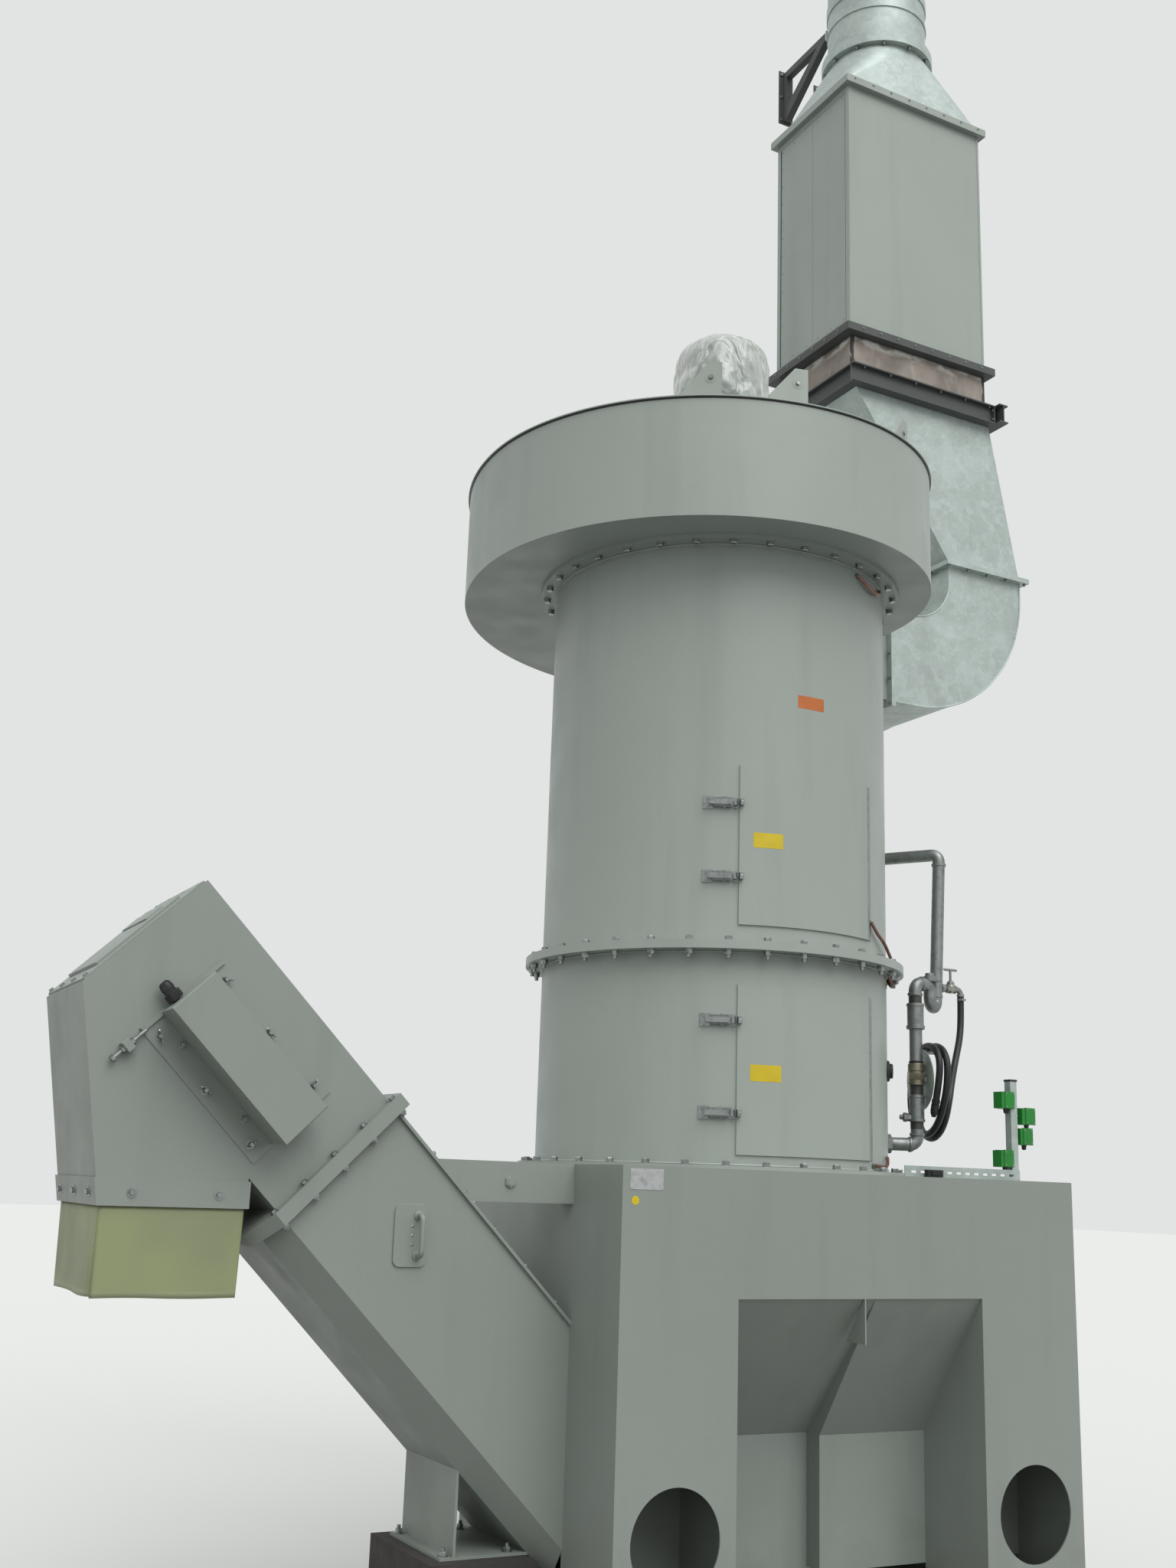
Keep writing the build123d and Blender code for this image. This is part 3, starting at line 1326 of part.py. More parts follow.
# Round hose hanger: a disc turned a little to the front, on a stub from the standpipe, with a peg above
hanger_turn = radians(HANGER_TURN)
hanger_plane = Plane(
    origin=(HANGER_X, HANGER_Y, HANGER_Z),
    x_dir=(sin(hanger_turn), cos(hanger_turn), 0),
    z_dir=(cos(hanger_turn), -sin(hanger_turn), 0),
)
stub_end = hanger_plane.to_local_coords(Vector(*standpipe, HANGER_Z))
with BuildPart() as hose_hanger:
    with BuildSketch(hanger_plane):
        Circle(HANGER_RADIUS)
    extrude(amount=HANGER_SHEET)
    with BuildSketch(hanger_plane):
        with Locations((stub_end.X, 0)):
            Circle(HANGER_STUB)
    extrude(amount=stub_end.Z)
    with BuildSketch(hanger_plane):
        with Locations(PEG_PLACE):
            Circle(PEG_RADIUS)
    extrude(amount=PEG_LENGTH)
    with BuildSketch(hanger_plane.offset(PEG_LENGTH)):
        with Locations(PEG_PLACE):
            Circle(PEG_RIM)
    extrude(amount=PEG_RIM_SHEET)
    with BuildSketch(Plane.XY.offset(HANGER_Z - 2 * HANGER_STUB)):
        with Locations(standpipe):
            Circle(UNION_RADIUS + FIT)
    extrude(amount=4 * HANGER_STUB, mode=Mode.SUBTRACT)
finish(hose_hanger.part, "hose_hanger")

# Tap at the end of a thin pipe from the riser
with BuildPart() as water_tap:
    with BuildSketch(Plane.YZ.offset(RISER_X)):
        with Locations((RISER_Y, STANDPIPE_TOP)):
            Circle(TAP_PIPE)
    extrude(amount=TAP_X - RISER_X)
    with BuildSketch(Plane.XY.offset(STANDPIPE_TOP - TAP_BODY)):
        with Locations((TAP_X, RISER_Y)):
            Circle(TAP_BODY)
    extrude(amount=TAP_BODY_HEIGHT)
    with BuildSketch(Plane.XY.offset(STANDPIPE_TOP)):
        with Locations((TAP_X, RISER_Y)):
            Circle(TAP_PIPE / 2)
    extrude(amount=TAP_HANDLE_Z - STANDPIPE_TOP)
    with BuildSketch(Plane.XY.offset(TAP_HANDLE_Z)):
        with Locations((TAP_X, RISER_Y)):
            SlotOverall(TAP_HANDLE, TAP_PIPE)
    extrude(amount=TAP_PIPE)
    add(
        pipe(
            [
                (TAP_X, RISER_Y, STANDPIPE_TOP),
                (SPOUT_X, RISER_Y, STANDPIPE_TOP),
                (SPOUT_X, RISER_Y, SPOUT_Z),
            ],
            TAP_PIPE,
            TAP_BODY,
        )
    )
    with BuildSketch(Plane(origin=riser_foot, z_dir=riser_way)):
        Circle(PIPE_RADIUS + FIT)
    extrude(amount=2 * TEE_DROP, mode=Mode.SUBTRACT)
finish(water_tap.part, "water_tap")

# Hose: straight runs joined by bends as large as the runs allow, with its nozzle at the end
hose_exit = Vector(SPOUT_X, RISER_Y, SPOUT_Z)
hose_set_out = list(HOSE_DROP)
for index in range(HOSE_TURN_POINTS):
    along, rise = HOSE_TURN[index % len(HOSE_TURN)]
    hose_set_out.append((along, rise, HOSE_FIRST_OUT - HOSE_PITCH * index / len(HOSE_TURN)))
hose_points = [hose_exit, hose_exit - Vector(0, 0, HOSE_EXIT_RUN)]
hose_points += [hanger_plane.from_local_coords(point) for point in [*hose_set_out, *HOSE_TAIL]]
hose_runs = [after - before for before, after in zip(hose_points, hose_points[1:])]
hose_bends = []
for run_in, run_out in zip(hose_runs, hose_runs[1:]):
    half_turn = radians(run_in.get_angle(run_out)) / 2
    hose_bends.append(0.45 * min(run_in.length, run_out.length) / tan(half_turn))
print("hose bend radii", [round(bend) for bend in hose_bends])

nozzle_plane = Plane(origin=hose_points[-1], z_dir=hose_runs[-1])
with BuildPart() as water_hose:
    add(pipe(hose_points, HOSE_RADIUS, hose_bends))
    with BuildSketch(nozzle_plane):
        Circle(NOZZLE_RADIUS)
    extrude(amount=NOZZLE_LENGTH)
finish(water_hose.part, "water_hose")

# Cable rail on the tank's top and the post with the probe boxes at its end
rail_left = half_width - RAIL_LENGTH
post_x = half_width - POST_INSET
post_y = RAIL_Y + RAIL_SHEET + POST_WIDTH / 2
with BuildPart() as cable_rail:
    with BuildSketch(Plane.XZ.offset(-RAIL_Y)):
        with Locations(((rail_left + half_width) / 2, TANK_HEIGHT + RAIL_HEIGHT / 2)):
            Rectangle(RAIL_LENGTH, RAIL_HEIGHT)
            with GridLocations(RAIL_PITCH, 0, RAIL_SLOTS, 1):
                SlotOverall(RAIL_SLOT, RAIL_SLOT / 3, mode=Mode.SUBTRACT)
    extrude(amount=-RAIL_SHEET)
    with BuildSketch(Plane.XY.offset(TANK_HEIGHT)):
        with Locations((rail_left, RAIL_Y)):
            Rectangle(RAIL_LENGTH, RAIL_FOOT, align=(Align.MIN, Align.MIN))
    extrude(amount=RAIL_SHEET)
finish(cable_rail.part, "cable_rail")

with BuildPart() as probe_post:
    with BuildSketch(Plane.XY.offset(TANK_HEIGHT + RAIL_SHEET)):
        with Locations((post_x, post_y)):
            Rectangle(POST_WIDTH, POST_WIDTH)
            Rectangle(POST_WIDTH - 2 * POST_WALL, POST_WIDTH - 2 * POST_WALL, mode=Mode.SUBTRACT)
    extrude(amount=POST_HEIGHT)
finish(probe_post.part, "probe_post")

with BuildPart() as probe_boxes:
    for box_offset, box_rise in PROBE_BOXES:
        side = 1 if box_offset > 0 else -1
        reach = abs(box_offset) - POST_WIDTH / 2
        pin_plane = Plane(
            origin=(post_x + side * POST_WIDTH / 2, post_y, TANK_HEIGHT + box_rise),
            x_dir=(0, 1, 0),
            z_dir=(side, 0, 0),
        )
        with BuildSketch(pin_plane):
            Circle(PROBE_PIN)
        extrude(amount=reach)
        with BuildSketch(pin_plane.offset(reach - PROBE_WIDTH / 2 + PROBE_PIN)):
            Rectangle(PROBE_DEPTH, PROBE_HEIGHT)
        extrude(amount=PROBE_WIDTH - PROBE_PIN)
finish(probe_boxes.part, "probe_boxes")
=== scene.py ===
"""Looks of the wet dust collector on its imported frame: finishes, fasteners, pipework and soft pieces.

Sizes are millimetres in the part's own frame and become metres when a mesh is made.
"""

import json
from math import cos, degrees, pi, radians, sin, sqrt
from random import Random

import bmesh
import bpy
from mathutils import Matrix, Vector, noise


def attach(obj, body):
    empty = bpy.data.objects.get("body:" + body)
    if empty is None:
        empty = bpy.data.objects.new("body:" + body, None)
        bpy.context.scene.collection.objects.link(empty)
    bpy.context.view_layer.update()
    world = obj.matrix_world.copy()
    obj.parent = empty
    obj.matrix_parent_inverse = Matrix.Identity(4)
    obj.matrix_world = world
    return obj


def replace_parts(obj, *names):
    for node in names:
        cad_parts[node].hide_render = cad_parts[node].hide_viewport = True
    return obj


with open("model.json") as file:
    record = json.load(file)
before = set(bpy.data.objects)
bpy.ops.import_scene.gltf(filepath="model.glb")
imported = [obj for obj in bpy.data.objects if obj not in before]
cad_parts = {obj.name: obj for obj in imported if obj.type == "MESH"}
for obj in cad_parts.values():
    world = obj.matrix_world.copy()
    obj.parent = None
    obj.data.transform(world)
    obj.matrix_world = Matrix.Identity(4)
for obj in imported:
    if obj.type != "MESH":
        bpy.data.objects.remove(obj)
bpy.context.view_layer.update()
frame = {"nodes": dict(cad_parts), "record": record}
nodes = frame["nodes"]
MM = 0.001
UP = Vector((0, 0, 1))
DOWN = Vector((0, 0, -1))
FRONT = Vector((0, -1, 0))
BACK = Vector((0, 1, 0))
LEFT = Vector((-1, 0, 0))
RIGHT = Vector((1, 0, 0))

# Faces and heights of the frame that the details sit on
TANK_FRONT = -917
TANK_TOP = 1480
TOWER_RADIUS = 645
FLANGE = 15
TOWER_MIDDLE = 2221
TOWER_HEAD = 3700
SCROLL_TOP = 4157
DUCT_Y = 990
DUCT_HALF = 307
ELBOW_CENTRE = (1556, 4387)
STACK_X = 1610
BEAM_Z = 5335
END_PLATES = 1676
CONVEYOR_FRONT = -612
CONVEYOR_BACK = -82
CONVEYOR_MIDDLE = -347


def add_object(name, data):
    made = bpy.data.objects.new(name, data)
    bpy.context.scene.collection.objects.link(made)
    return made


# Camera at the photograph's place, a plain pinhole without shift; its axes point right, up and back
CAMERA_SPOT = (-3.30755, -5.19826, 1.42048)
CAMERA_AXES = (
    (0.879882, -0.474047, 0.033071),
    (-0.141593, -0.195101, 0.97051),
    (-0.45361, -0.858615, -0.238788),
)
camera_data = bpy.data.cameras.new("camera")
camera_data.lens = 37.35
camera_data.sensor_width = 36
camera_data.clip_end = 200
camera = add_object("camera", camera_data)
camera.matrix_world = Matrix.Translation(CAMERA_SPOT) @ Matrix(CAMERA_AXES).transposed().to_4x4()
bpy.context.scene.camera = camera
bpy.context.scene.view_settings.view_transform = "Standard"


def linear(red, green, blue):
    """Colour written as on a screen, 0 to 255, as the shader takes it."""
    parts = []
    for value in (red, green, blue):
        share = value / 255
        parts.append(share / 12.92 if share <= 0.04045 else ((share + 0.055) / 1.055) ** 2.4)
    return (*parts, 1)


def shade(colour, share):
    """A screen colour made lighter or darker, as the shader takes it."""
    return linear(*[min(255, share * part) for part in colour])


# Colour sockets of the mix node
MIX_BELOW, MIX_ABOVE, MIX_RESULT = 6, 7, 2


class Surface:
    """One material, with short ways to add textures to its node tree."""

    def __init__(self, name, colour, roughness, metallic=0.0, **constants):
        self.material = bpy.data.materials.new(name)
        self.material.use_nodes = True
        self.tree = self.material.node_tree
        self.shader = self.tree.nodes["Principled BSDF"]
        self.shader.inputs["Base Color"].default_value = colour
        self.shader.inputs["Roughness"].default_value = roughness
        self.shader.inputs["Metallic"].default_value = metallic
        for socket, value in constants.items():
            self.shader.inputs[socket.replace("_", " ")].default_value = value
        self.place = self.tree.nodes.new("ShaderNodeTexCoord").outputs["Object"]
        self.last_bump = None
        self.last_colour = colour

    def node(self, kind, inputs, **settings):
        """Adds a node; an input is either a constant or a socket to link."""
        made = self.tree.nodes.new(kind)
        for key, value in settings.items():
            setattr(made, key, value)
        for key, value in inputs.items():
            if isinstance(value, bpy.types.NodeSocket):
                self.tree.links.new(value, made.inputs[key])
            else:
                made.inputs[key].default_value = value
        return made

    def noise(self, scale, detail=3, stretch=None, distortion=0.0):
        """Cloudy texture; stretch multiplies its scale along x, y and z."""
        where = self.place
        if stretch:
            where = self.node("ShaderNodeMapping", {"Vector": where, "Scale": stretch}).outputs[0]
        inputs = {"Vector": where, "Scale": scale, "Detail": detail, "Distortion": distortion}
        return self.node("ShaderNodeTexNoise", inputs).outputs["Fac"]

    def flakes(self, scale, channel):
        """Flat flakes, each with its own random value."""
        cells = self.node("ShaderNodeTexVoronoi", {"Vector": self.place, "Scale": scale})
        return self.node("ShaderNodeSeparateColor", {0: cells.outputs["Color"]}).outputs[channel]

    def remap(self, value, low, high, to_low=0.0, to_high=1.0):
        inputs = {"Value": value, "From Min": low, "From Max": high, "To Min": to_low, "To Max": to_high}
        return self.node("ShaderNodeMapRange", inputs).outputs["Result"]

    def product(self, first, second):
        return self.node("ShaderNodeMath", {0: first, 1: second}, operation="MULTIPLY").outputs[0]

    def height_share(self, low, high):
        """From 1 at the low height to 0 at the high one, in metres above the floor."""
        split = self.node("ShaderNodeSeparateXYZ", {0: self.place})
        return self.remap(split.outputs["Z"], low, high, 1.0, 0.0)

    def tint(self, colour, factor):
        """Mixes another colour over what is there, by factor."""
        inputs = {"Factor": factor, MIX_BELOW: self.last_colour, MIX_ABOVE: colour}
        self.last_colour = self.node("ShaderNodeMix", inputs, data_type="RGBA").outputs[MIX_RESULT]
        self.tree.links.new(self.last_colour, self.shader.inputs["Base Color"])

    def patches(self, colour, texture, low, high, most):
        """Mixes another colour in where a texture rises from low to high, by at most that share."""
        self.tint(colour, self.remap(texture, low, high, 0.0, most))

    def rough(self, value, low, high):
        """Roughness follows a texture between two values."""
        self.tree.links.new(self.remap(value, 0.3, 0.7, low, high), self.shader.inputs["Roughness"])

    def bump(self, value, distance):
        """Adds relief of that depth, in metres, on top of the relief there is."""
        made = self.node("ShaderNodeBump", {"Height": value, "Distance": distance})
        if self.last_bump:
            self.tree.links.new(self.last_bump, made.inputs["Normal"])
        self.last_bump = made.outputs["Normal"]
        self.tree.links.new(self.last_bump, self.shader.inputs["Normal"])


def paint(name, colour, dirt=0.25, wave=0.004, roughness=0.42):
    """Sprayed paint on sheet steel: fine orange peel, slow waves of the sheet, faint runs and dust."""
    made = Surface(name, linear(*colour), roughness)
    darker = shade(colour, 0.80)
    dusty = linear(0.62 * colour[0], 0.62 * colour[1], 0.56 * colour[2])
    made.patches(shade(colour, 1.06), made.noise(0.9, 4), 0.45, 0.75, 0.6)
    made.patches(darker, made.noise(1.3, 6, (5, 5, 0.5)), 0.52, 0.80, 0.28)
    foot = made.product(made.height_share(0.0, 0.55), made.remap(made.noise(7, 5), 0.3, 0.7))
    made.tint(dusty, made.product(foot, dirt))
    made.patches(darker, made.noise(140, 2), 0.62, 0.75, 0.18)
    made.rough(made.noise(6, 5), roughness - 0.07, roughness + 0.10)
    made.bump(made.noise(1.6, 2), wave)
    made.bump(made.noise(420, 2), 0.00012)
    return made.material


def galvanised(name, colour, roughness):
    """Hot-dip galvanised sheet: patches of spangle that shine differently, cloudy stains."""
    made = Surface(name, linear(*colour), roughness, metallic=0.62)
    light = shade(colour, 1.10)
    dark = shade(colour, 0.84)
    spangle = made.flakes(70, 0)
    made.tint(light, made.product(spangle, 0.5))
    made.tint(dark, made.product(made.flakes(26, 1), 0.35))
    made.patches(light, made.noise(2.6, 4, None, 1.2), 0.50, 0.72, 0.55)
    made.patches(dark, made.noise(4.5, 5, (1, 1, 0.4)), 0.55, 0.78, 0.45)
    made.rough(made.noise(3.2, 4), roughness - 0.08, roughness + 0.16)
    made.bump(made.noise(2.4, 2), 0.004)
    made.bump(spangle, 0.00006)
    return made.material


def bare_metal(name, colour, roughness, stain=None):
    """Zinc-plated or cast small parts, slightly uneven, with patches of tarnish."""
    made = Surface(name, linear(*colour), roughness, metallic=0.9)
    tarnish = linear(*stain) if stain else shade(colour, 0.72)
    made.patches(tarnish, made.noise(38, 4), 0.48, 0.75, 0.6)
    made.rough(made.noise(60, 3), roughness - 0.08, roughness + 0.14)
    made.bump(made.noise(500, 2), 0.00008)
    return made.material


def dull(name, colour, roughness, grain, depth):
    """Moulded plastic, rubber or matt paint with a fine grain."""
    made = Surface(name, linear(*colour), roughness)
    made.patches(shade(colour, 0.78), made.noise(9, 5), 0.45, 0.75, 0.5)
    made.rough(made.noise(14, 4), roughness - 0.08, roughness + 0.10)
    made.bump(made.noise(grain, 2), depth)
    return made.material


FINISHES = {
    "grey_paint": paint("grey_paint", (152, 160, 154)),
    "galvanised": galvanised("galvanised", (174, 184, 180), 0.56),
    "dull_steel": paint("dull_steel", (72, 75, 74), dirt=0.1, wave=0.001, roughness=0.55),
    "zinc": bare_metal("zinc", (146, 151, 149), 0.3),
    # The plinth's dark colour is partly painted shadow, the shade under the conveyor
    "plinth": dull("plinth", (58, 54, 52), 0.85, 60, 0.002),
    "green_plastic": dull("green_plastic", (22, 126, 40), 0.42, 260, 0.00008),
}
# Painted shade: a darker tone and stronger darkening near the floor for the low, less lit parts
LOWER_PAINTED_SHADE = paint("lower_paint_painted_shade", (134, 141, 135), dirt=0.4, roughness=0.5)
PIPE_ZINC = bare_metal("pipe_zinc", (138, 142, 140), 0.44)
CUT_THREAD = bare_metal("cut_thread", (104, 104, 100), 0.5)
TAP_CHROME = bare_metal("tap_chrome", (150, 150, 142), 0.34)
BRASS = bare_metal("brass", (142, 136, 118), 0.40, stain=(100, 96, 84))
COPPER = bare_metal("copper_braid", (132, 98, 86), 0.5, stain=(88, 68, 60))
BLACK_RUBBER = dull("black_rubber", (26, 27, 28), 0.48, 120, 0.0002)
BLACK_PLASTIC = dull("black_plastic", (22, 22, 23), 0.4, 240, 0.0001)
DARK_BINDING = dull("dark_binding", (58, 54, 52), 0.7, 300, 0.0003)
YELLOW_LABEL = dull("yellow_label", (206, 182, 22), 0.45, 90, 0.00005)
ORANGE_LABEL = dull("orange_label", (190, 104, 44), 0.45, 90, 0.00005)
SILVER_LABEL = bare_metal("silver_label", (178, 180, 180), 0.4)

# The tank and the conveyor are painted a little darker than the tower, with more darkening near the floor:
# painted shade for the lesser light low down
LOWER_PARTS = ("tank_", "sump_", "leg_", "cutout_", "conveyor_f", "conveyor_t")
LOWER_PARTS += ("discharge_hood", "hood_", "mouth_", "side_guard", "trough_")
node_slot = {entry["node"]: entry["material_slot"] for entry in frame["record"]["subparts"]}


def dress(name, material):
    slots = nodes[name].data.materials
    slots.clear()
    slots.append(material)


for name in nodes:
    if name.startswith(LOWER_PARTS):
        dress(name, LOWER_PAINTED_SHADE)
    else:
        dress(name, FINISHES.get(node_slot.get(name), FINISHES["grey_paint"]))
dress("water_pipes", PIPE_ZINC)


def place(point, normal, roll=0.0, toward=None):
    """Matrix that stands local z along normal at that point; toward sets where local x goes."""
    axis = Vector(normal).normalized()
    side = Vector(toward) if toward is not None else (UP if abs(axis.z) < 0.9 else RIGHT)
    first = (side - axis * side.dot(axis)).normalized()
    second = axis.cross(first)
    turn = Matrix((first, second, axis)).transposed().to_4x4()
    return Matrix.Translation(Vector(point) * MM) @ turn @ Matrix.Rotation(roll, 4, "Z")


# Angle between two faces, in degrees, from which their edge is shown sharp
SHARP = 32


class Piece:
    """Closed shells collected in one mesh, which rides on a body."""

    def __init__(self, name, material, slot=None, body="collector"):
        self.name = name
        self.material = material
        self.slot = slot
        self.body = body
        self.mesh = bmesh.new()

    def face(self, corners):
        if len(set(corners)) > 2:
            self.mesh.faces.new(corners)

    def bridge(self, low, high):
        count = max(len(low), len(high))
        for index in range(count):
            after = (index + 1) % count
            if len(low) == 1:
                self.face((low[0], high[after], high[index]))
            elif len(high) == 1:
                self.face((low[index], low[after], high[0]))
            else:
                self.face((low[index], low[after], high[after], high[index]))

    def skin(self, rings):
        """Closed shell over rings of points in metres; a ring of one point is a tip."""
        rings = [[self.mesh.verts.new(spot) for spot in ring] for ring in rings]
        for low, high in zip(rings, rings[1:]):
            self.bridge(low, high)
        self.face(rings[0])
        self.face(rings[-1])

    def turned(self, where, profile, sides=20):
        """Surface of revolution: the profile is (radius, height) pairs from one end to the other."""
        rings = []
        for radius, height in profile:
            angles = [2 * pi * index / sides for index in range(sides if radius else 1)]
            rings.append([where @ (Vector((radius * cos(a), radius * sin(a), height)) * MM) for a in angles])
        self.skin(rings)

    def slab(self, where, outline, thickness, edge=0.0):
        """Prism over an outline; edge is a small chamfer round its outer face."""
        middle = Vector((sum(p[0] for p in outline), sum(p[1] for p in outline))) / len(outline)
        levels = [(0.0, 0.0), (thickness - edge, 0.0)]
        if edge:
            levels.append((thickness, edge))
        rings = []
        for height, inset in levels:
            ring = []
            for x, y in outline:
                away = Vector((x, y)) - middle
                shrink = 1 - inset / max(away.length, inset + 0.01)
                spot = middle + away * shrink
                ring.append(where @ (Vector((spot.x, spot.y, height)) * MM))
            rings.append(ring)
        self.skin(rings)

    def bar(self, where, size, edge=0.0):
        """Block of that size, centred across and standing on local z = 0."""
        x, y = size[0] / 2, size[1] / 2
        self.slab(where, [(-x, -y), (x, -y), (x, y), (-x, y)], size[2], edge)

    def tube(self, points, radius, sides=14):
        """Round bar along points; radius may be a list with one value for each point."""
        spots = [Vector(p) * MM for p in points]
        radii = radius if isinstance(radius, list) else [radius] * len(spots)
        angles = [2 * pi * step / sides for step in range(sides)]
        rings = []
        first = None
        for index, spot in enumerate(spots):
            before = spots[max(index - 1, 0)]
            after = spots[min(index + 1, len(spots) - 1)]
            way = (after - before).normalized()
            if first is None:
                first = way.cross(UP if abs(way.z) < 0.9 else RIGHT).normalized()
            first = (first - way * first.dot(way)).normalized()
            second = way.cross(first)
            rings.append([spot + (first * cos(a) + second * sin(a)) * radii[index] * MM for a in angles])
        self.skin(rings)

    def done(self):
        bmesh.ops.recalc_face_normals(self.mesh, faces=self.mesh.faces[:])
        data = bpy.data.meshes.new(self.name)
        self.mesh.to_mesh(data)
        self.mesh.free()
        data.shade_smooth()
        data.set_sharp_from_angle(angle=radians(SHARP))
        data.materials.append(self.material)
        made = add_object(self.name, data)
        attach(made, self.body)
        return made


def zinc_piece(name, body="collector"):
    return Piece(name, FINISHES["zinc"], "zinc", body)


def around(radius, count, start=0.0):
    """Points of a bolt circle."""
    angles = [start + 2 * pi * index / count for index in range(count)]
    return [(radius * cos(a), radius * sin(a)) for a in angles]


def arc(middle, radius, start, end, count):
    """Points of an arc in plan or side view, its angles in degrees."""
    angles = [radians(start + (end - start) * index / (count - 1)) for index in range(count)]
    return [(middle[0] + radius * cos(a), middle[1] + radius * sin(a)) for a in angles]


def row(start, end, count):
    """Evenly spaced points from start to end, both included."""
    return [Vector(start).lerp(Vector(end), index / (count - 1)) for index in range(count)]


# Fasteners: width across flats, height without the washer, washer
M4 = (8, 3.5, 10)
M5 = (8, 4, 12)
M6 = (10, 5, 15)
M8 = (13, 6, 18)
M8_WIDE = (13, 6, 20)
M8_FLANGE = (13, 5.2, 18.2)
M8_FLANGE_NUT = (13, 6.5, 18.2)
M10 = (17, 8, 24)
M10_NUT = (17, 9, 24)
M14 = (23, 12, 30)
M14_NUT = (23, 15, 30)
BAND_BOLT = (15, 8, 28)
WASHER_SHARE = 0.13


def bolt_head(piece, point, normal, size, roll=0.0):
    """Hexagon head with its washer."""
    flats, height, washer = size
    disc = flats * WASHER_SHARE
    corner = flats / sqrt(3)
    where = place(point, normal, roll)
    piece.turned(where, [(washer / 2, 0), (washer / 2, disc)], 16)
    where = where @ Matrix.Translation(Vector((0, 0, disc * MM)))
    piece.turned(where, [(corner, 0), (corner, height * 0.8), (corner * 0.86, height)], 6)


def nut(piece, point, normal, size, roll=0.0, thread=12, stub=6):
    """Nut with its washer and the end of the thread."""
    bolt_head(piece, point, normal, size, roll)
    end = size[1] + size[0] * WASHER_SHARE
    where = place(point, normal) @ Matrix.Translation(Vector((0, 0, end * MM)))
    piece.turned(where, [(thread / 2, 0), (thread / 2, stub - 1), (thread / 2 - 1, stub)], 10)


def rivet(piece, point, normal, radius=4.5, height=2.6):
    profile = [(radius, -1), (radius * 0.94, height * 0.4), (radius * 0.55, height * 0.85), (0, height)]
    piece.turned(place(point, normal), profile, 10)


# Bolts of the tower's flanges
BOLT_CIRCLE = 683
TOWER_BOLTS = 32
rng = Random(7)
tower_bolts = zinc_piece("tower_bolts")
for x, y in around(BOLT_CIRCLE, TOWER_BOLTS, pi / TOWER_BOLTS):
    bolt_head(tower_bolts, (x, y, TANK_TOP + FLANGE), UP, M14, rng.uniform(0, 1))
    bolt_head(tower_bolts, (x, y, TOWER_MIDDLE + FLANGE), UP, M14, rng.uniform(0, 1))
    nut(tower_bolts, (x, y, TOWER_MIDDLE - FLANGE), DOWN, M14_NUT, rng.uniform(0, 1), thread=14, stub=12)
    bolt_head(tower_bolts, (x, y, TOWER_HEAD - FLANGE), DOWN, M14, rng.uniform(0, 1))
tower_bolts.done()


def on_tower(angle, z, radius=TOWER_RADIUS):
    """Point at that radius round the tower; the angle is in degrees from the front, to the right."""
    turn = radians(angle)
    return Vector((radius * sin(turn), -radius * cos(turn), z))


def outward(angle):
    return on_tower(angle, 0, 1)


def rightward(angle):
    return on_tower(angle + 90, 0, 1)


# Doors: hinge rivets, striker caps, toggle latches
HINGE_ANGLE = 26.8
hinge_rivets = zinc_piece("hinge_rivets")
for door_base in (1531, 2297):
    for z in range(door_base + 41, door_base + 560, 80):
        rivet(hinge_rivets, on_tower(HINGE_ANGLE, z, 647), outward(HINGE_ANGLE), 3.6, 2.0)
hinge_rivets.done()

LATCHES = {"lower_door": (1665, 1971), "upper_door": (2462, 2722)}
LATCH_ANGLE = -30.9
STRIKER_ANGLE = -24.47
PER_MM = degrees(1 / TOWER_RADIUS)
LEVER = [(-17, 0), (-17, 9), (-9, 19), (9, 19), (17, 9), (17, 0)]
LEVER += [(14, 0), (14, 8), (7, 16), (-7, 16), (-14, 8), (-14, 0)]
LEVER_TIP = [(0, 0), (0, 3), (-12, 8), (-19, 17), (-21, 16), (-15, 5), (-4, -1)]
HOOK = [(0, 0), (22, 0), (26, -5), (26, -18), (20, -23), (12, -21)]
HOOK += [(12, -18), (19, -19), (22, -16), (22, -6), (19, -3), (0, -3)]


def latch(piece, z):
    """Toggle latch: screwed end plate, folded lever on its pivot, curled tip, hook towards the door."""

    def at(offset, lift=0.0):
        """Point that far to the right of the latch's middle and off the shell, with both directions."""
        angle = LATCH_ANGLE + offset * PER_MM
        return on_tower(angle, z, 644.7 + lift), outward(angle), rightward(angle)

    for offset, size in ((-43, (36, 44, 3.2)), (-8, (34, 34, 3)), (24, (34, 30, 3)), (51, (20, 38, 3.2))):
        spot, normal, side = at(offset)
        piece.bar(place(spot, normal, toward=side), size, 0.8)
    for step in (-14, 14):
        spot, normal, side = at(-45, 3.2)
        bolt_head(piece, spot + UP * step, normal, M4)
        spot, normal, side = at(54, 3.2)
        rivet(piece, spot + UP * step * 0.9, normal, 3.4, 2)
    spot, normal, side = at(-24, 4)
    piece.slab(place(spot, side, toward=UP), LEVER, 62)
    mirrored = Matrix.Scale(-1, 4, (0, 1, 0))
    piece.slab(place(spot + normal * 16 - UP * 9, UP, toward=side) @ mirrored, LEVER_TIP, 18)
    for offset, lift, half, radius in ((14, 10, 20, 3.6), (33, 9, 18, 3)):
        spot, normal, side = at(offset, lift)
        piece.tube([spot - UP * half, spot + UP * half], radius, 10)
    spot, normal, side = at(34, 3)
    piece.slab(place(spot - UP * 12, UP, toward=side), HOOK, 24)


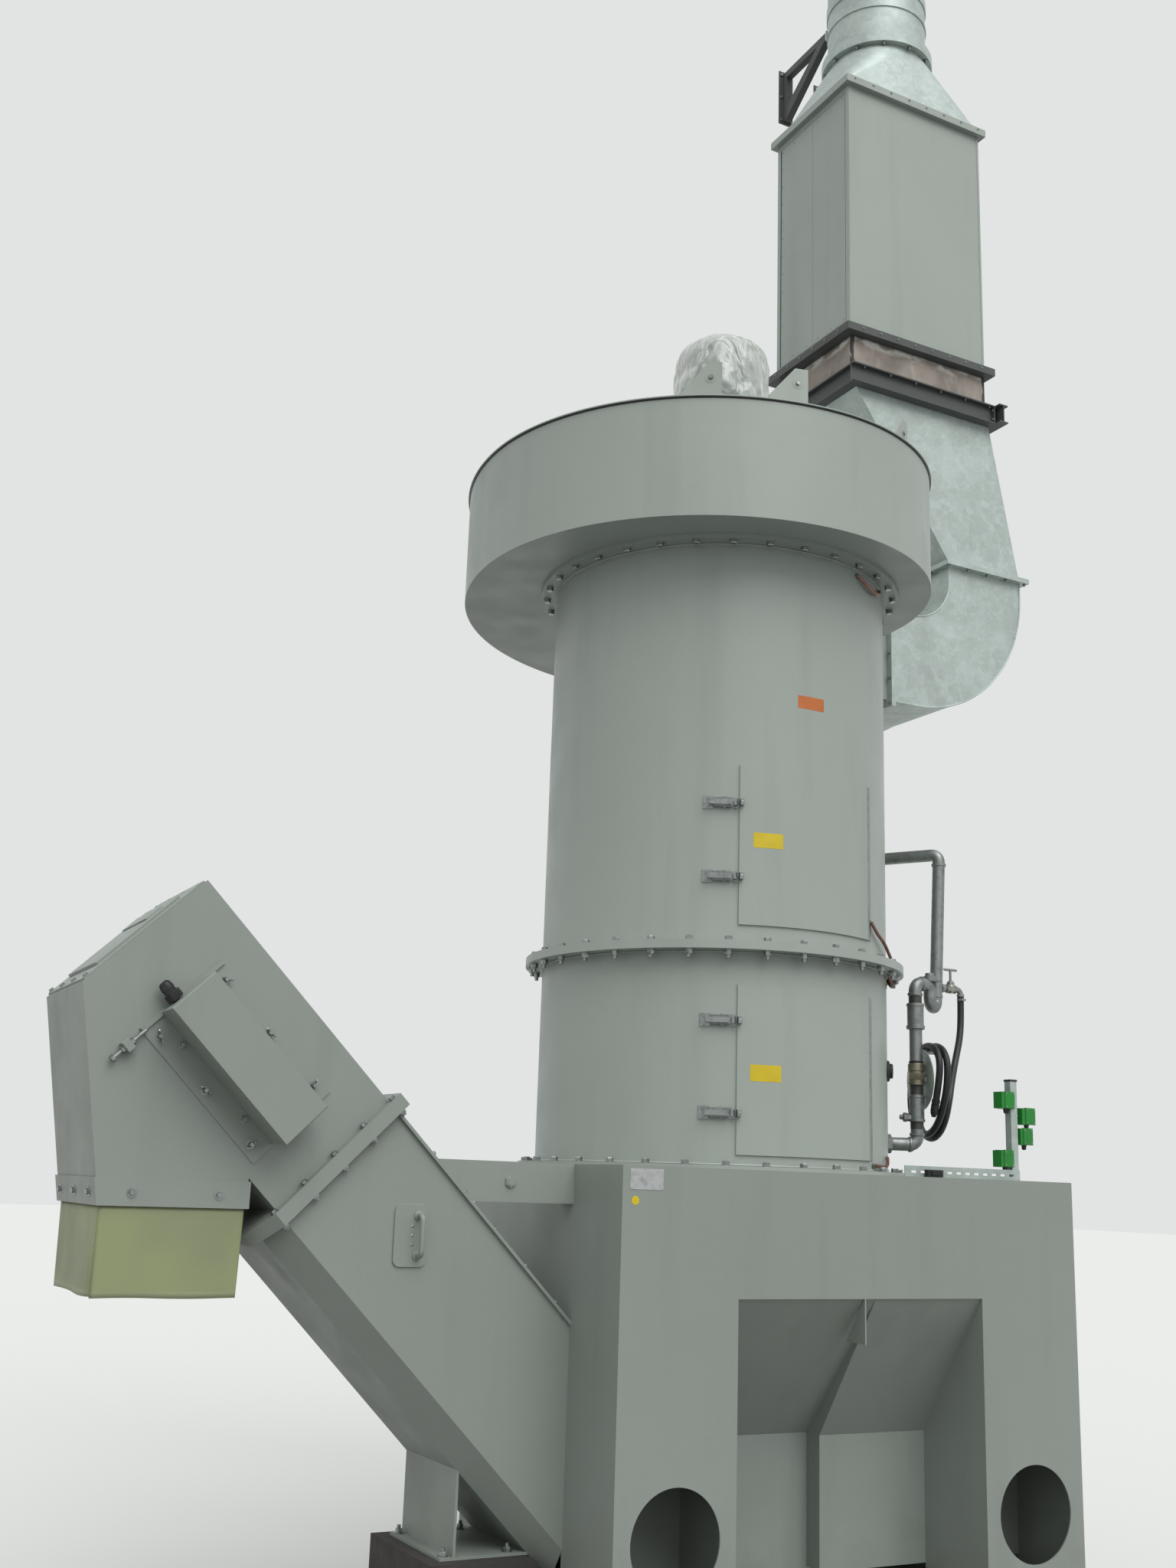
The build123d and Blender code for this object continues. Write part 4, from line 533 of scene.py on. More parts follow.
latch_set = zinc_piece("door_latch_set")
for body, heights in LATCHES.items():
    caps = zinc_piece(f"{body}_strikers", body)
    away = outward(STRIKER_ANGLE)
    for z in heights:
        latch(latch_set, z)
        cap_place = place(on_tower(STRIKER_ANGLE, z, 651.4), away, toward=rightward(STRIKER_ANGLE))
        caps.bar(cap_place, (13.2, 24, 23), 2)
        rivet(caps, on_tower(STRIKER_ANGLE, z, 674), away, 4, 1.6)
    caps.done()
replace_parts(latch_set.done(), "door_latches")


# Blank stickers and plates
def strip(piece, plan, low, high, thickness):
    """Thin band that stands on edge over a line in plan; its outer side is to the right of the line's way."""
    points = [Vector((x, y, 0)) for x, y in plan]
    rings = []
    for index, spot in enumerate(points):
        way = (points[min(index + 1, len(points) - 1)] - points[max(index - 1, 0)]).normalized()
        side = Vector((way.y, -way.x, 0)) * thickness
        corners = (spot + UP * low, spot + side + UP * low, spot + side + UP * high, spot + UP * high)
        rings.append([corner * MM for corner in corners])
    piece.skin(rings)


def sticker(name, material, radius, start, end, low, high, body="collector"):
    label = Piece(name, material, body=body)
    strip(label, arc((0, 0), radius, start - 90, end - 90, 9), low, high, 0.6)
    label.done()


DOOR_FACE = 651.6
sticker("upper_door_sticker", YELLOW_LABEL, DOOR_FACE, -20.7, -11.2, 2567, 2620, "upper_door")
sticker("lower_door_sticker", YELLOW_LABEL, DOOR_FACE, -21.1, -11.5, 1772, 1827, "lower_door")
sticker("tower_sticker", ORANGE_LABEL, 644.8, -5.9, 3.9, 3089, 3136)
rating_plate = Piece("rating_plate", SILVER_LABEL)
rating_plate.bar(place((-803, TANK_FRONT, 1441), FRONT, toward=RIGHT), (114, 61, 1.2), 0.6)
for x in (-854, -752):
    for z in (1417, 1466):
        rivet(rating_plate, (x, TANK_FRONT - 1, z), FRONT, 2.6, 1.4)
rating_plate.done()
round_dot = Piece("round_label", YELLOW_LABEL)
round_dot.turned(place((-841, TANK_FRONT, 1379), FRONT), [(13, 0), (13, 0.6)], 24)
round_dot.done()

# Earthing straps with their bolts, and the sight plug on the lower shell
straps = Piece("earthing_straps", COPPER)
strap_bolts = zinc_piece("earthing_bolts")


def strap(*spots):
    """Braid sagging between bolted ends, its points given as (angle, z, radius) round the tower."""
    points = [on_tower(*spot) for spot in spots]
    smooth = []
    for index in range(len(points) - 1):
        p0 = points[max(index - 1, 0)]
        p1, p2 = points[index], points[index + 1]
        p3 = points[min(index + 2, len(points) - 1)]
        for step in range(6):
            t = step / 6
            square = (2 * p0 - 5 * p1 + 4 * p2 - p3) * t**2
            cube = (3 * p1 - p0 - 3 * p2 + p3) * t**3
            smooth.append(0.5 * (2 * p1 + (p2 - p0) * t + square + cube))
    smooth.append(points[-1])
    straps.tube(smooth, 6, 10)
    for angle, z, radius in (spots[0], spots[-1]):
        bolt_head(strap_bolts, on_tower(angle, z, radius - 4), outward(angle), (10, 5, 17))


strap((27.4, 2364, 652), (30, 2330, 660), (36, 2300, 664), (43, 2262, 668), (47, 2247, 672))
strap((45, 2196, 658), (48, 2176, 664), (52, 2168, 664), (56, 2180, 660), (58, 2200, 652))
strap((28, 1516, 652), (30.5, 1514, 658), (34, 1513, 660), (39, 1522, 658), (42, 1546, 652))
strap((20, 3660, 652), (24, 3636, 660), (29, 3626, 662), (35, 3640, 660), (38, 3664, 652))
straps.done()
strap_bolts.done()
sight_plug = Piece("sight_plug", BLACK_PLASTIC)
plug_profile = [(38, 0), (38, 6), (34, 9), (27, 10), (27, 18), (24, 21), (10, 22), (0, 22)]
sight_plug.turned(place(on_tower(50, 1857, 644.5), outward(50)), plug_profile, 24)
sight_plug.done()

# Fittings of the water pipes
STANDPIPE = Vector((709, -317, 0))
RISER_Y = -267
THREAD_RADIUS = 24.2
THREAD_PITCH = 2.6
fittings = Piece("pipe_fittings", PIPE_ZINC, "galvanised")
threads = Piece("pipe_threads", CUT_THREAD, "zinc")
brass_parts = Piece("brass_fittings", BRASS)
dark_rings = Piece("pipe_seals", BLACK_RUBBER, "black_rubber")


def at_standpipe(z):
    return STANDPIPE + UP * z


def thread(z, length):
    """Run of cut thread on the standpipe, as fine rounded ridges."""
    profile = [(THREAD_RADIUS, 0)]
    ridges = int(length / THREAD_PITCH)
    for index in range(ridges):
        profile.append((THREAD_RADIUS + 1.1, (index + 0.5) * length / ridges))
        profile.append((THREAD_RADIUS, (index + 1) * length / ridges))
    threads.turned(place(at_standpipe(z), UP), profile, 24)


def collar(piece, point, normal, radius, height, bead=2.5):
    """Rolled band of a fitting, with rounded edges."""
    profile = [(radius - bead, 0), (radius, bead), (radius, height - bead), (radius - bead, height)]
    piece.turned(place(point, normal), profile, 28)


for z, length in ((2130, 27), (1787, 35), (1660, 26)):
    thread(z, length)
for z, radius, height in ((2030, 34.5, 16), (2114, 33.5, 14), (1687, 30.5, 12), (1773, 30.5, 12)):
    collar(fittings, at_standpipe(z), UP, radius, height)
collar(dark_rings, at_standpipe(1903), UP, 27.5, 9)
valve_body = [(29, 0), (30, 4), (30, 10), (27.8, 12), (27.8, 50), (31, 52), (31, 76), (28, 79.5)]
brass_parts.turned(place(at_standpipe(1823), UP), valve_body, 28)
brass_parts.turned(place(at_standpipe(1842), UP), [(33, 0), (34.5, 2.5), (34.5, 21), (33, 23.5)], 6)

strainer_way = Vector((-0.91, 0.41, 0))
strainer_foot = at_standpipe(1703) + strainer_way * 27
fittings.turned(place(strainer_foot, strainer_way), [(15, -4), (15, 10), (12, 12)], 6)
plug = Piece("strainer_plug", PIPE_ZINC, "galvanised")
plug.turned(place(strainer_foot + strainer_way * 11, strainer_way), [(16, 0), (17, 2), (17, 13), (15, 15)], 6)
plug.turned(place(strainer_foot + strainer_way * 25, strainer_way), [(9, 0), (9, 12), (7, 14)], 4)
plug.done()

# Bead rings where the pipe's bends begin and end, the nipple at the tower and the feed's flange
FEED_WAY = Vector((cos(radians(15.5)), sin(radians(15.5)), 0))
FEED_Z = 2733
NIPPLE_WAY = STANDPIPE.normalized()
NIPPLE_Z = 1604
for point, normal, radius in (
    (at_standpipe(1640), UP, 28),
    (at_standpipe(2162), UP, 28.5),
    (Vector((744, -310, 2206)), RIGHT, 28.5),
    (Vector((850, RISER_Y, 2170)), UP, 28),
    (Vector((851, RISER_Y, 2232)), UP, 27.5),
    (Vector((878, RISER_Y, 2690)), UP, 28),
):
    collar(fittings, point - normal * 6, normal, radius, 13)


def at_nipple(away):
    return NIPPLE_WAY * away + UP * NIPPLE_Z


collar(fittings, at_nipple(646), NIPPLE_WAY, 38, 9, 2)
fittings.turned(place(at_nipple(655), NIPPLE_WAY), [(33, 0), (35, 2), (35, 20), (33, 22)], 6)
collar(fittings, at_nipple(742), NIPPLE_WAY, 28.5, 11)
fittings.turned(place(at_nipple(752), NIPPLE_WAY), [(24, -6), (27, 2), (24, 8), (0, 9)], 20)
collar(fittings, FEED_WAY * 645.5 + UP * FEED_Z, FEED_WAY, 44, 10, 2)
collar(fittings, FEED_WAY * 655 + UP * FEED_Z, FEED_WAY, 31, 16)
for x, y in around(36, 4, 0.4):
    point = FEED_WAY * 655 + UP * (FEED_Z + y) + Vector((-FEED_WAY.y, FEED_WAY.x, 0)) * x
    bolt_head(fittings, point, FEED_WAY, (8, 4, 0.2))
fittings.turned(place((795, -300, 2226), UP), [(27, -6), (29, 0), (29, 12), (18, 16), (17, 26), (0, 27)], 20)
fittings.done()
threads.done()
brass_parts.done()
dark_rings.done()

# Tap: gland, bonnet, spindle nut and the T handle, instead of the plain solid
TAP = Vector((926, RISER_Y, 2206))
tap = Piece("water_tap_dressed", PIPE_ZINC, "galvanised")
tap.tube([(849, RISER_Y, TAP.z), (930, RISER_Y, TAP.z)], 11, 18)
collar(tap, TAP - RIGHT * 50, RIGHT, 17, 14, 1.5)
tap_bonnet = Piece("tap_bonnet", TAP_CHROME)
valve = [(16, 0), (17.5, 2), (17.5, 14), (15, 18), (15, 30), (17.5, 34), (17.5, 46), (16, 48)]
bonnet = [(0, 0), (12, 1), (18, 8), (19, 18), (19, 26), (15, 32), (15, 42), (12, 46), (7, 50), (0, 50)]
tap_bonnet.turned(place(TAP - RIGHT * 24, RIGHT), valve, 6)
tap_bonnet.turned(place(TAP - UP * 18, UP), bonnet, 24)
tap_bonnet.done()
tap.tube([TAP + UP * 30, TAP + UP * 72], 5, 12)
tap.tube([TAP + Vector((x, 0, 74)) for x in (-32, -26, 26, 32)], [3.5, 5.2, 5.2, 3.5], 12)
HOSE_EXIT = Vector((975, RISER_Y, 2178))
spout = [(x, RISER_Y, z) for x, z in arc((955, 2186), 20, 90, 0, 7)]
tap.tube([TAP + RIGHT * 24, *spout, HOSE_EXIT + UP], 11, 18)
collar(tap, HOSE_EXIT, UP, 14.5, 12, 2)
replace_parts(tap.done(), "water_tap")

# Hose on its hanger. Its points are set out from the middle of the hanger's disc: along it away from the
# viewer, up, and out from it. In the turns each is (along, up), and they come closer to the disc in turn.
HANGER = Vector((752, -285, 1845))
HANGER_TURN = radians(14.5)
ALONG = Vector((sin(HANGER_TURN), cos(HANGER_TURN), 0))
OUT = Vector((cos(HANGER_TURN), -sin(HANGER_TURN), 0))
HOSE_DROP = [(56, 170, 196), (18, 88, 158), (-28, 4, 118), (-64, -76, 88), (-54, -142, 78)]
HOSE_DROP += [(-18, -192, 72), (40, -216, 69), (102, -204, 66), (146, -162, 64), (164, -100, 62)]
HOSE_DROP += [(158, -14, 59)]
HOSE_TURN = [(108, 60), (66, 108), (12, 127), (-52, 127), (-108, 104), (-142, 58), (-138, -28)]
HOSE_TURN += [(-100, -114), (-56, -168), (0, -199), (64, -199), (120, -168), (154, -112), (152, -18)]
HOSE_TAIL = [(-138, 58, 18), (-130, -10, 16), (-104, -80, 15)]
COIL_START = 57
COIL_LEAD = 28


def at_hanger(along, rise, out):
    return HANGER + ALONG * along + UP * rise + OUT * out


hose_route = [HOSE_EXIT, HOSE_EXIT - UP * 78]
hose_route += [at_hanger(*point) for point in HOSE_DROP]
for index in range(19):
    along, rise = HOSE_TURN[index % len(HOSE_TURN)]
    hose_route.append(at_hanger(along, rise, COIL_START - COIL_LEAD * index / len(HOSE_TURN)))
hose_route += [at_hanger(*point) for point in HOSE_TAIL]
hose_curve = bpy.data.curves.new("water_hose_line", "CURVE")
hose_curve.dimensions = "3D"
hose_curve.bevel_depth = 13 * MM
hose_curve.bevel_resolution = 6
hose_curve.resolution_u = 10
hose_spline = hose_curve.splines.new("NURBS")
hose_spline.points.add(len(hose_route) - 1)
for spot, target in zip(hose_spline.points, hose_route):
    spot.co = (*(target * MM), 1)
hose_spline.order_u = 3
hose_spline.use_endpoint_u = True
hose_curve.materials.append(BLACK_RUBBER)
hose = add_object("water_hose_line", hose_curve)
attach(hose, "collector")
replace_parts(hose, "water_hose")

nozzle_way = (hose_route[-1] - hose_route[-2]).normalized()
nozzle_place = place(hose_route[-1] - nozzle_way * 4, nozzle_way)
nozzle = Piece("hose_nozzle", BLACK_PLASTIC, "black_rubber")
nozzle.turned(nozzle_place, [(13, 0), (15.5, 1), (15.5, 12), (14, 14), (14, 18)], 24)
nozzle_end = [(12, 46), (13.5, 47), (13.5, 54), (10, 60), (8, 66), (5, 66), (4.5, 60), (0, 60)]
nozzle.turned(nozzle_place, nozzle_end, 24)
nozzle_piece = nozzle.done()
grip = Piece("nozzle_grip", BLACK_RUBBER, "black_rubber")
grip_profile = [(13, 17)]
for ridge in range(18, 44, 5):
    grip_profile += [(15, ridge), (15, ridge + 2.4), (14, ridge + 3.6)]
grip_profile.append((13, 47))
grip.turned(nozzle_place, grip_profile, 24)
grip_piece = grip.done()
clamp = zinc_piece("hose_clamp")
clamp.turned(place(HOSE_EXIT - UP * 16, UP), [(13, 0), (14.4, 0), (14.4, 9), (13, 9)], 28)
clamp.bar(place(HOSE_EXIT - UP * 11.5 + FRONT * 13, FRONT), (9, 16, 7), 1)
clamp.turned(place(HOSE_EXIT + Vector((-12, -17, -11.5)), RIGHT), [(4, 0), (4, 22)], 12)
clamp_piece = clamp.done()

hanger_fixing = zinc_piece("hanger_fixing")
nut(hanger_fixing, at_hanger(-42, 0, 4), OUT, (13, 7, 22), thread=8)
hanger_fixing.turned(place(at_hanger(-20, 104, 83), OUT), [(15.6, -3.4), (15.6, 0), (9, 2.2), (0, 2.6)], 20)
hanger_fixing.done()

# Probe boxes on their post: lids, screws and glands, each box given as (x, z, side of the post)
POST = Vector((868, -649, 0))
PROBES = ((845, 1764, -1), (935, 1711, 1), (921, 1639, 1), (834, 1559, -1))
probe_lids = Piece("probe_lids", FINISHES["green_plastic"], "green_plastic")
probe_black = Piece("probe_glands", BLACK_PLASTIC)
probe_screws = zinc_piece("probe_screws")
for x, z, side in PROBES:
    middle = Vector((x + 3 * side, POST.y, z))
    probe_lids.bar(place(middle + FRONT * 16, FRONT, toward=RIGHT), (46, 60, 9), 2.5)
    probe_lids.bar(place(middle + BACK * 22, FRONT, toward=RIGHT), (46, 60, 4))
    for dx in (-16, 16):
        for dz in (-23, 23):
            spot = middle + Vector((dx, -25, dz))
            probe_screws.turned(place(spot, FRONT), [(3, -1), (3, 0.8), (1.6, 1.2), (0, 0.6)], 10)
    gland = middle + Vector((0, 0, -29))
    probe_black.turned(place(gland, DOWN), [(9.5, 0), (9.5, 6)], 6)
    probe_black.turned(place(gland, DOWN), [(8, 6), (8.4, 12), (6, 17), (3, 18), (0, 18)], 16)
    probe_black.turned(place(POST + RIGHT * 15 * side + UP * z, RIGHT * side), [(8, 0), (8, 5)], 6)
probe_black.bar(place(POST + UP * 1832, UP, toward=RIGHT), (34, 34, 7), 2)
probe_lids.done()
probe_black.done()
probe_screws.done()
rail_block = Piece("rail_clamp_block", BLACK_PLASTIC)
rail_block.bar(place((484, -668, 1496), FRONT, toward=RIGHT), (68, 24, 20), 3)
rail_block.bar(place((484, -688, 1496), FRONT, toward=RIGHT), (40, 14, 4), 1.5)
rail_block.done()
rail_screws = zinc_piece("rail_screws")
for x in (396, 556, 716, 856):
    bolt_head(rail_screws, (x, -648, TANK_TOP + 3), UP, (10, 4, 16))
rail_screws.done()


# Duct flanges: small bolts through both lips
DUCT_LIPS = 24


def flange_bolts(piece, middle, first, second, halves, counts):
    """Bolts round a rectangular flange pair: heads on one side, nuts on the other."""
    axis = first.cross(second)
    spots = []
    for index in range(counts[0]):
        share = 2 * index / (counts[0] - 1) - 1
        spots += [(share * halves[0], halves[1]), (share * halves[0], -halves[1])]
    for index in range(1, counts[1] - 1):
        share = 2 * index / (counts[1] - 1) - 1
        spots += [(halves[0], share * halves[1]), (-halves[0], share * halves[1])]
    for a, b in spots:
        point = Vector(middle) + first * a + second * b
        bolt_head(piece, point + axis * DUCT_LIPS / 2, axis, M8_FLANGE, rng.uniform(0, 1))
        nut(piece, point - axis * DUCT_LIPS / 2, -axis, M8_FLANGE_NUT, thread=7.8, stub=4)


duct_bolts = zinc_piece("duct_bolts")
flange_bolts(duct_bolts, (1402, DUCT_Y, 3928.5), BACK, UP, (325, 246.5), (6, 5))
flange_bolts(duct_bolts, (2014.5, DUCT_Y, 4470), RIGHT, BACK, (246.5, 325), (5, 6))
duct_bolts.done()

CONSOLES = (STACK_X - 125, STACK_X + 125)
stack_bolts = zinc_piece("stack_bolts")
for x, y in around(282, 12):
    spot = Vector((STACK_X + x, DUCT_Y + y, 0))
    bolt_head(stack_bolts, spot + UP * 7460, UP, M10, rng.uniform(0, 1))
    nut(stack_bolts, spot + UP * 7400, DOWN, M10_NUT, rng.uniform(0, 1))
for x in CONSOLES:
    for z in (7776, 7804):
        bolt_head(stack_bolts, (x, 1249.3, z), FRONT, M8)
stack_bolts.done()

wall_plates = Piece("console_wall_plates", FINISHES["dull_steel"], "dull_steel")
wall_bolts = zinc_piece("wall_bolts")
for x in CONSOLES:
    wall_plates.bar(place((x, END_PLATES + 7, 7650), FRONT, toward=RIGHT), (96, 350, 7), 1)
    for dx in (-34, 34):
        for z in (7500, 7650, 7800):
            bolt_head(wall_bolts, (x + dx, END_PLATES, z), FRONT, (15, 7, 20))
for x in (1192.2, 2095.8):
    for dx in (-56, 56):
        for dz in (-52, 52):
            bolt_head(wall_bolts, (x + dx, END_PLATES, BEAM_Z + dz), FRONT, M10)
wall_plates.done()
wall_bolts.done()

# Beam ends: end plates with bolts where the front and rear beams meet the right one
beam_plates = Piece("beam_end_plates", FINISHES["dull_steel"], "dull_steel")
beam_bolts = zinc_piece("beam_bolts")
for y in (655.2, 1324.8):
    beam_plates.bar(place((2068.3, y, BEAM_Z), LEFT, toward=UP), (86, 52, 5), 0.8)
    for dy in (-15, 15):
        for dz in (-24, 24):
            bolt_head(beam_bolts, (2063.3, y + dy, BEAM_Z + dz), LEFT, M8)
for x in range(1240, 2041, 160):
    nut(beam_bolts, (x, 640, 5378), DOWN, M6, thread=6, stub=4)
    bolt_head(beam_bolts, (x, 640, 5385), UP, M6)
beam_plates.done()
beam_bolts.done()

# Silencer: corner angles, panel joints, rivets, bolts of the base ring
S_LEFT, S_RIGHT, S_FRONT, S_BACK, S_LOW, S_HIGH = 1178, 2042, 676, 1304, 5600, 6980
S_TALL = S_HIGH - S_LOW
S_DEEP = S_BACK - S_FRONT
S_MIDDLE = (S_LOW + S_HIGH) / 2
trim = Piece("silencer_trim", FINISHES["grey_paint"], "grey_paint")
joints = Piece("silencer_joints", BLACK_RUBBER)
panel_rivets = zinc_piece("silencer_rivets")
for x, normal in ((S_LEFT, LEFT), (S_RIGHT, RIGHT)):
    for y, inward in ((S_FRONT, 1), (S_BACK, -1)):
        trim.bar(place((x, y + inward * 13, S_MIDDLE), normal, toward=BACK), (26, S_TALL, 3), 0.6)
        joints.bar(place((x, y + inward * 29, S_MIDDLE), normal, toward=BACK), (4.5, S_TALL - 76, 1))
    trim.bar(place((x, DUCT_Y, S_LOW + 19), normal, toward=BACK), (S_DEEP - 52, 38, 2.4), 0.6)
    trim.bar(place((x, DUCT_Y, S_HIGH - 15), normal, toward=BACK), (S_DEEP - 52, 30, 2.4), 0.6)
    joints.bar(place((x, DUCT_Y, S_LOW + 40), normal, toward=BACK), (S_DEEP - 60, 3, 1))
    trim.bar(place((x, DUCT_Y, S_MIDDLE), normal, toward=BACK), (3.2, S_TALL - 76, 1.2), 0.3)
    for spot in row((x, 1262, S_LOW + 62), (x, 1262, S_HIGH - 52), 13):
        rivet(panel_rivets, spot, normal)
    for z in (S_LOW + 62, S_HIGH - 50):
        for spot in row((x, 728, z), (x, 1160, z), 5):
            rivet(panel_rivets, spot, normal)
for y, normal in ((S_FRONT, FRONT), (S_BACK, BACK)):
    for x, inward in ((S_LEFT, 1), (S_RIGHT, -1)):
        trim.bar(place((x + inward * 5.5, y, S_MIDDLE), normal, toward=RIGHT), (11, S_TALL, 2), 0.6)
trim.done()
joints.done()
panel_rivets.done()
ring_bolts = zinc_piece("silencer_ring_bolts")
for spot in row((1230, 636, 5582), (1990, 636, 5582), 8):
    bolt_head(ring_bolts, spot, FRONT, M5)
    bolt_head(ring_bolts, (spot.x, 1344, 5582), BACK, M5)
for spot in row((1138, 720, 5582), (1138, 1260, 5582), 6):
    bolt_head(ring_bolts, spot, LEFT, M5)
    bolt_head(ring_bolts, (2082, spot.y, 5582), RIGHT, M5)
for spot in row((1200, 646, 7008), (2020, 646, 7008), 8):
    bolt_head(ring_bolts, spot, FRONT, M5)
ring_bolts.done()

# Seal under the scroll's rim, seam beads of the elbow, rings and bolts in the lugs' holes
seal = Piece("scroll_seal", BLACK_RUBBER, "black_rubber")
scroll_line = arc((247, 100), 1197, 90, 180, 40) + arc((0, 100), 950, 180, 270, 40)[1:]
scroll_line += arc((0, -46), 804, -90, 65, 60)[1:] + [(1389, 683)]
strip(seal, scroll_line, 4147, 4152.6, 1.6)
strip(seal, [(1389, 1297), (247, 1297)], 4147, 4152.6, 1.6)
seal.done()
beads = Piece("duct_seams", FINISHES["galvanised"], "galvanised")
for y in (DUCT_Y - DUCT_HALF, DUCT_Y + DUCT_HALF):
    heel = [(1415, TOWER_HEAD)] + arc(ELBOW_CENTRE, 687, 270, 360, 28) + [(2243, 4457)]
    throat = [(1415, SCROLL_TOP)] + arc(ELBOW_CENTRE, 230, 270, 360, 16) + [(1786, 4457)]
    for line, radius in ((heel, 4.5), (throat, 4)):
        beads.tube([(x, y, z) for x, z in line], radius, 8)
beads.done()
lug_rings = Piece("lug_hole_rings", FINISHES["grey_paint"], "grey_paint")
lug_bolts = zinc_piece("lug_bolts")
for angle in (-128, -104, -59, 31, 121):
    away = Vector((cos(radians(angle)), sin(radians(angle)), 0))
    beside = Vector((-away.y, away.x, 0))
    hole = away * 765 + beside * 35 + UP * (SCROLL_TOP + 120)
    for side in (1, -1):
        lug_rings.turned(place(hole, away * side), [(11, 4.5), (11, 6), (21, 6), (21.5, 4.5)], 24)
        bolt_head(lug_bolts, hole + away * side * 5.2, away * side, M8_WIDE)
lug_rings.done()
lug_bolts.done()

# Weld beads at the foot and head of the tower's shells
welds = Piece("tower_welds", FINISHES["grey_paint"], "grey_paint")
for z, sign in ((1495, 1), (2206, -1), (2236, 1), (3685, -1)):
    welds.tube([on_tower(step * 3.75, z + sign * rng.uniform(2.4, 3.4), 646.5) for step in range(97)], 4, 6)
welds.done()


# Conveyor: run goes up to the left at 45 degrees, height is square to it
def on_slope(run, height, y):
    return Vector(((height - run) / sqrt(2), y, (height + run) / sqrt(2)))


UPHILL = Vector((-1, 0, 1)).normalized()
DOWNHILL = -UPHILL
ACROSS = Vector((1, 0, 1)).normalized()
MOUTH_BAND_Z = 1358
MOUTH_LEFT_WAY = Vector((-0.986, 0, -0.168))
conveyor_bolts = zinc_piece("conveyor_bolts")
lip_spots = [(height, y) for height in (96, -21, -138, -255, -372) for y in (-629, -65)]
lip_spots += [(105, y) for y in (-500, CONVEYOR_MIDDLE, -194)]
for height, y in lip_spots:
    roll = rng.uniform(0, 1)
    bolt_head(conveyor_bolts, on_slope(2230, height, y), UPHILL, M10, roll)
    nut(conveyor_bolts, on_slope(2186, height, y), DOWNHILL, M10_NUT, roll)
for x in (-2240, -2000):
    bolt_head(conveyor_bolts, (x, -618, MOUTH_BAND_Z), FRONT, BAND_BOLT)
    bolt_head(conveyor_bolts, (x, -76, MOUTH_BAND_Z), BACK, BAND_BOLT)
for y in (-540, CONVEYOR_MIDDLE, -150):
    bolt_head(conveyor_bolts, (-2338.2, y, MOUTH_BAND_Z), MOUTH_LEFT_WAY, BAND_BOLT)
    bolt_head(conveyor_bolts, (-1912, y, MOUTH_BAND_Z), RIGHT, BAND_BOLT)
for run in range(1420, 2170, 150):
    for y in (-617, -77):
        bolt_head(conveyor_bolts, on_slope(run, 92, y), ACROSS, M6)
for x in (-1226, -1020):
    for y in (-520, -180):
        nut(conveyor_bolts, (x, y, 361), UP, (19, 12, 32), stub=10)
conveyor_bolts.done()

# Guard: lid on its box, edge strip, wing nuts
GUARD = Vector((-1980, CONVEYOR_FRONT, 1727))
WING = [(5, 3), (8, 4), (18, 14), (19, 20), (14, 22), (9, 16), (5, 12)]


def at_guard(along, across, out):
    return GUARD + DOWNHILL * along + ACROSS * across + FRONT * out


guard_lid = Piece("guard_lid", LOWER_PAINTED_SHADE, "grey_paint")
guard_lid.bar(place(at_guard(0, 0, 118), FRONT, toward=DOWNHILL), (496, 156, 24), 3)
guard_lid.bar(place(at_guard(-242, 0, 4), FRONT, toward=DOWNHILL), (14, 298, 7), 1)
guard_lid.done()
guard_fixings = zinc_piece("guard_fixings")


def wing_nut(piece, point, normal, roll):
    where = place(point, normal, roll)
    piece.turned(where, [(12, 0), (12, 1.6)])
    piece.turned(where, [(8.5, 1.6), (7.5, 9), (5.5, 13), (5.5, 17)], 16)
    upright = where @ Matrix.Rotation(radians(90), 4, "X") @ Matrix.Translation((0, 0, -1.5 * MM))
    for side in (1, -1):
        piece.slab(upright, [(x * side, y) for x, y in WING], 3)


for along in (-197, 2, 203):
    for across in (-122, 122):
        wing_nut(guard_fixings, at_guard(along, across, 4), FRONT, rng.uniform(0, 3))
for along in (-137, 137):
    bolt_head(guard_fixings, at_guard(along, -90, 4), FRONT, (15, 9, 22))

# Threaded rod from the guard's corner through a small block on the hood, and the gland on the guard's end
ROD_ALONG = -236
rod_block = Piece("tension_block", LOWER_PAINTED_SHADE, "grey_paint")
rod_block.bar(place(at_guard(ROD_ALONG, -206, -1), FRONT, toward=DOWNHILL), (34, 24, 36), 2)
rod_block.done()
guard_fixings.tube([at_guard(ROD_ALONG, across, 17) for across in (-140, -262)], 5.5, 12)
for across, way in ((-194, ACROSS), (-218, -ACROSS), (-254, -ACROSS)):
    guard_fixings.turned(place(at_guard(ROD_ALONG, across, 17), way), [(11, 0), (11, 9), (9.5, 10)], 6)
guard_fixings.done()
hood_gland = Piece("hood_gland", BLACK_PLASTIC)
gland_place = place(at_guard(-249, -28, 36), UPHILL)
gland_nut = [(18, 24), (18, 34), (19, 35), (19, 44), (16, 56), (11, 60), (10, 54), (0, 54)]
hood_gland.turned(gland_place, [(25, 0), (25, 22), (23, 24)], 6)
hood_gland.turned(gland_place, gland_nut, 24)
hood_gland.done()

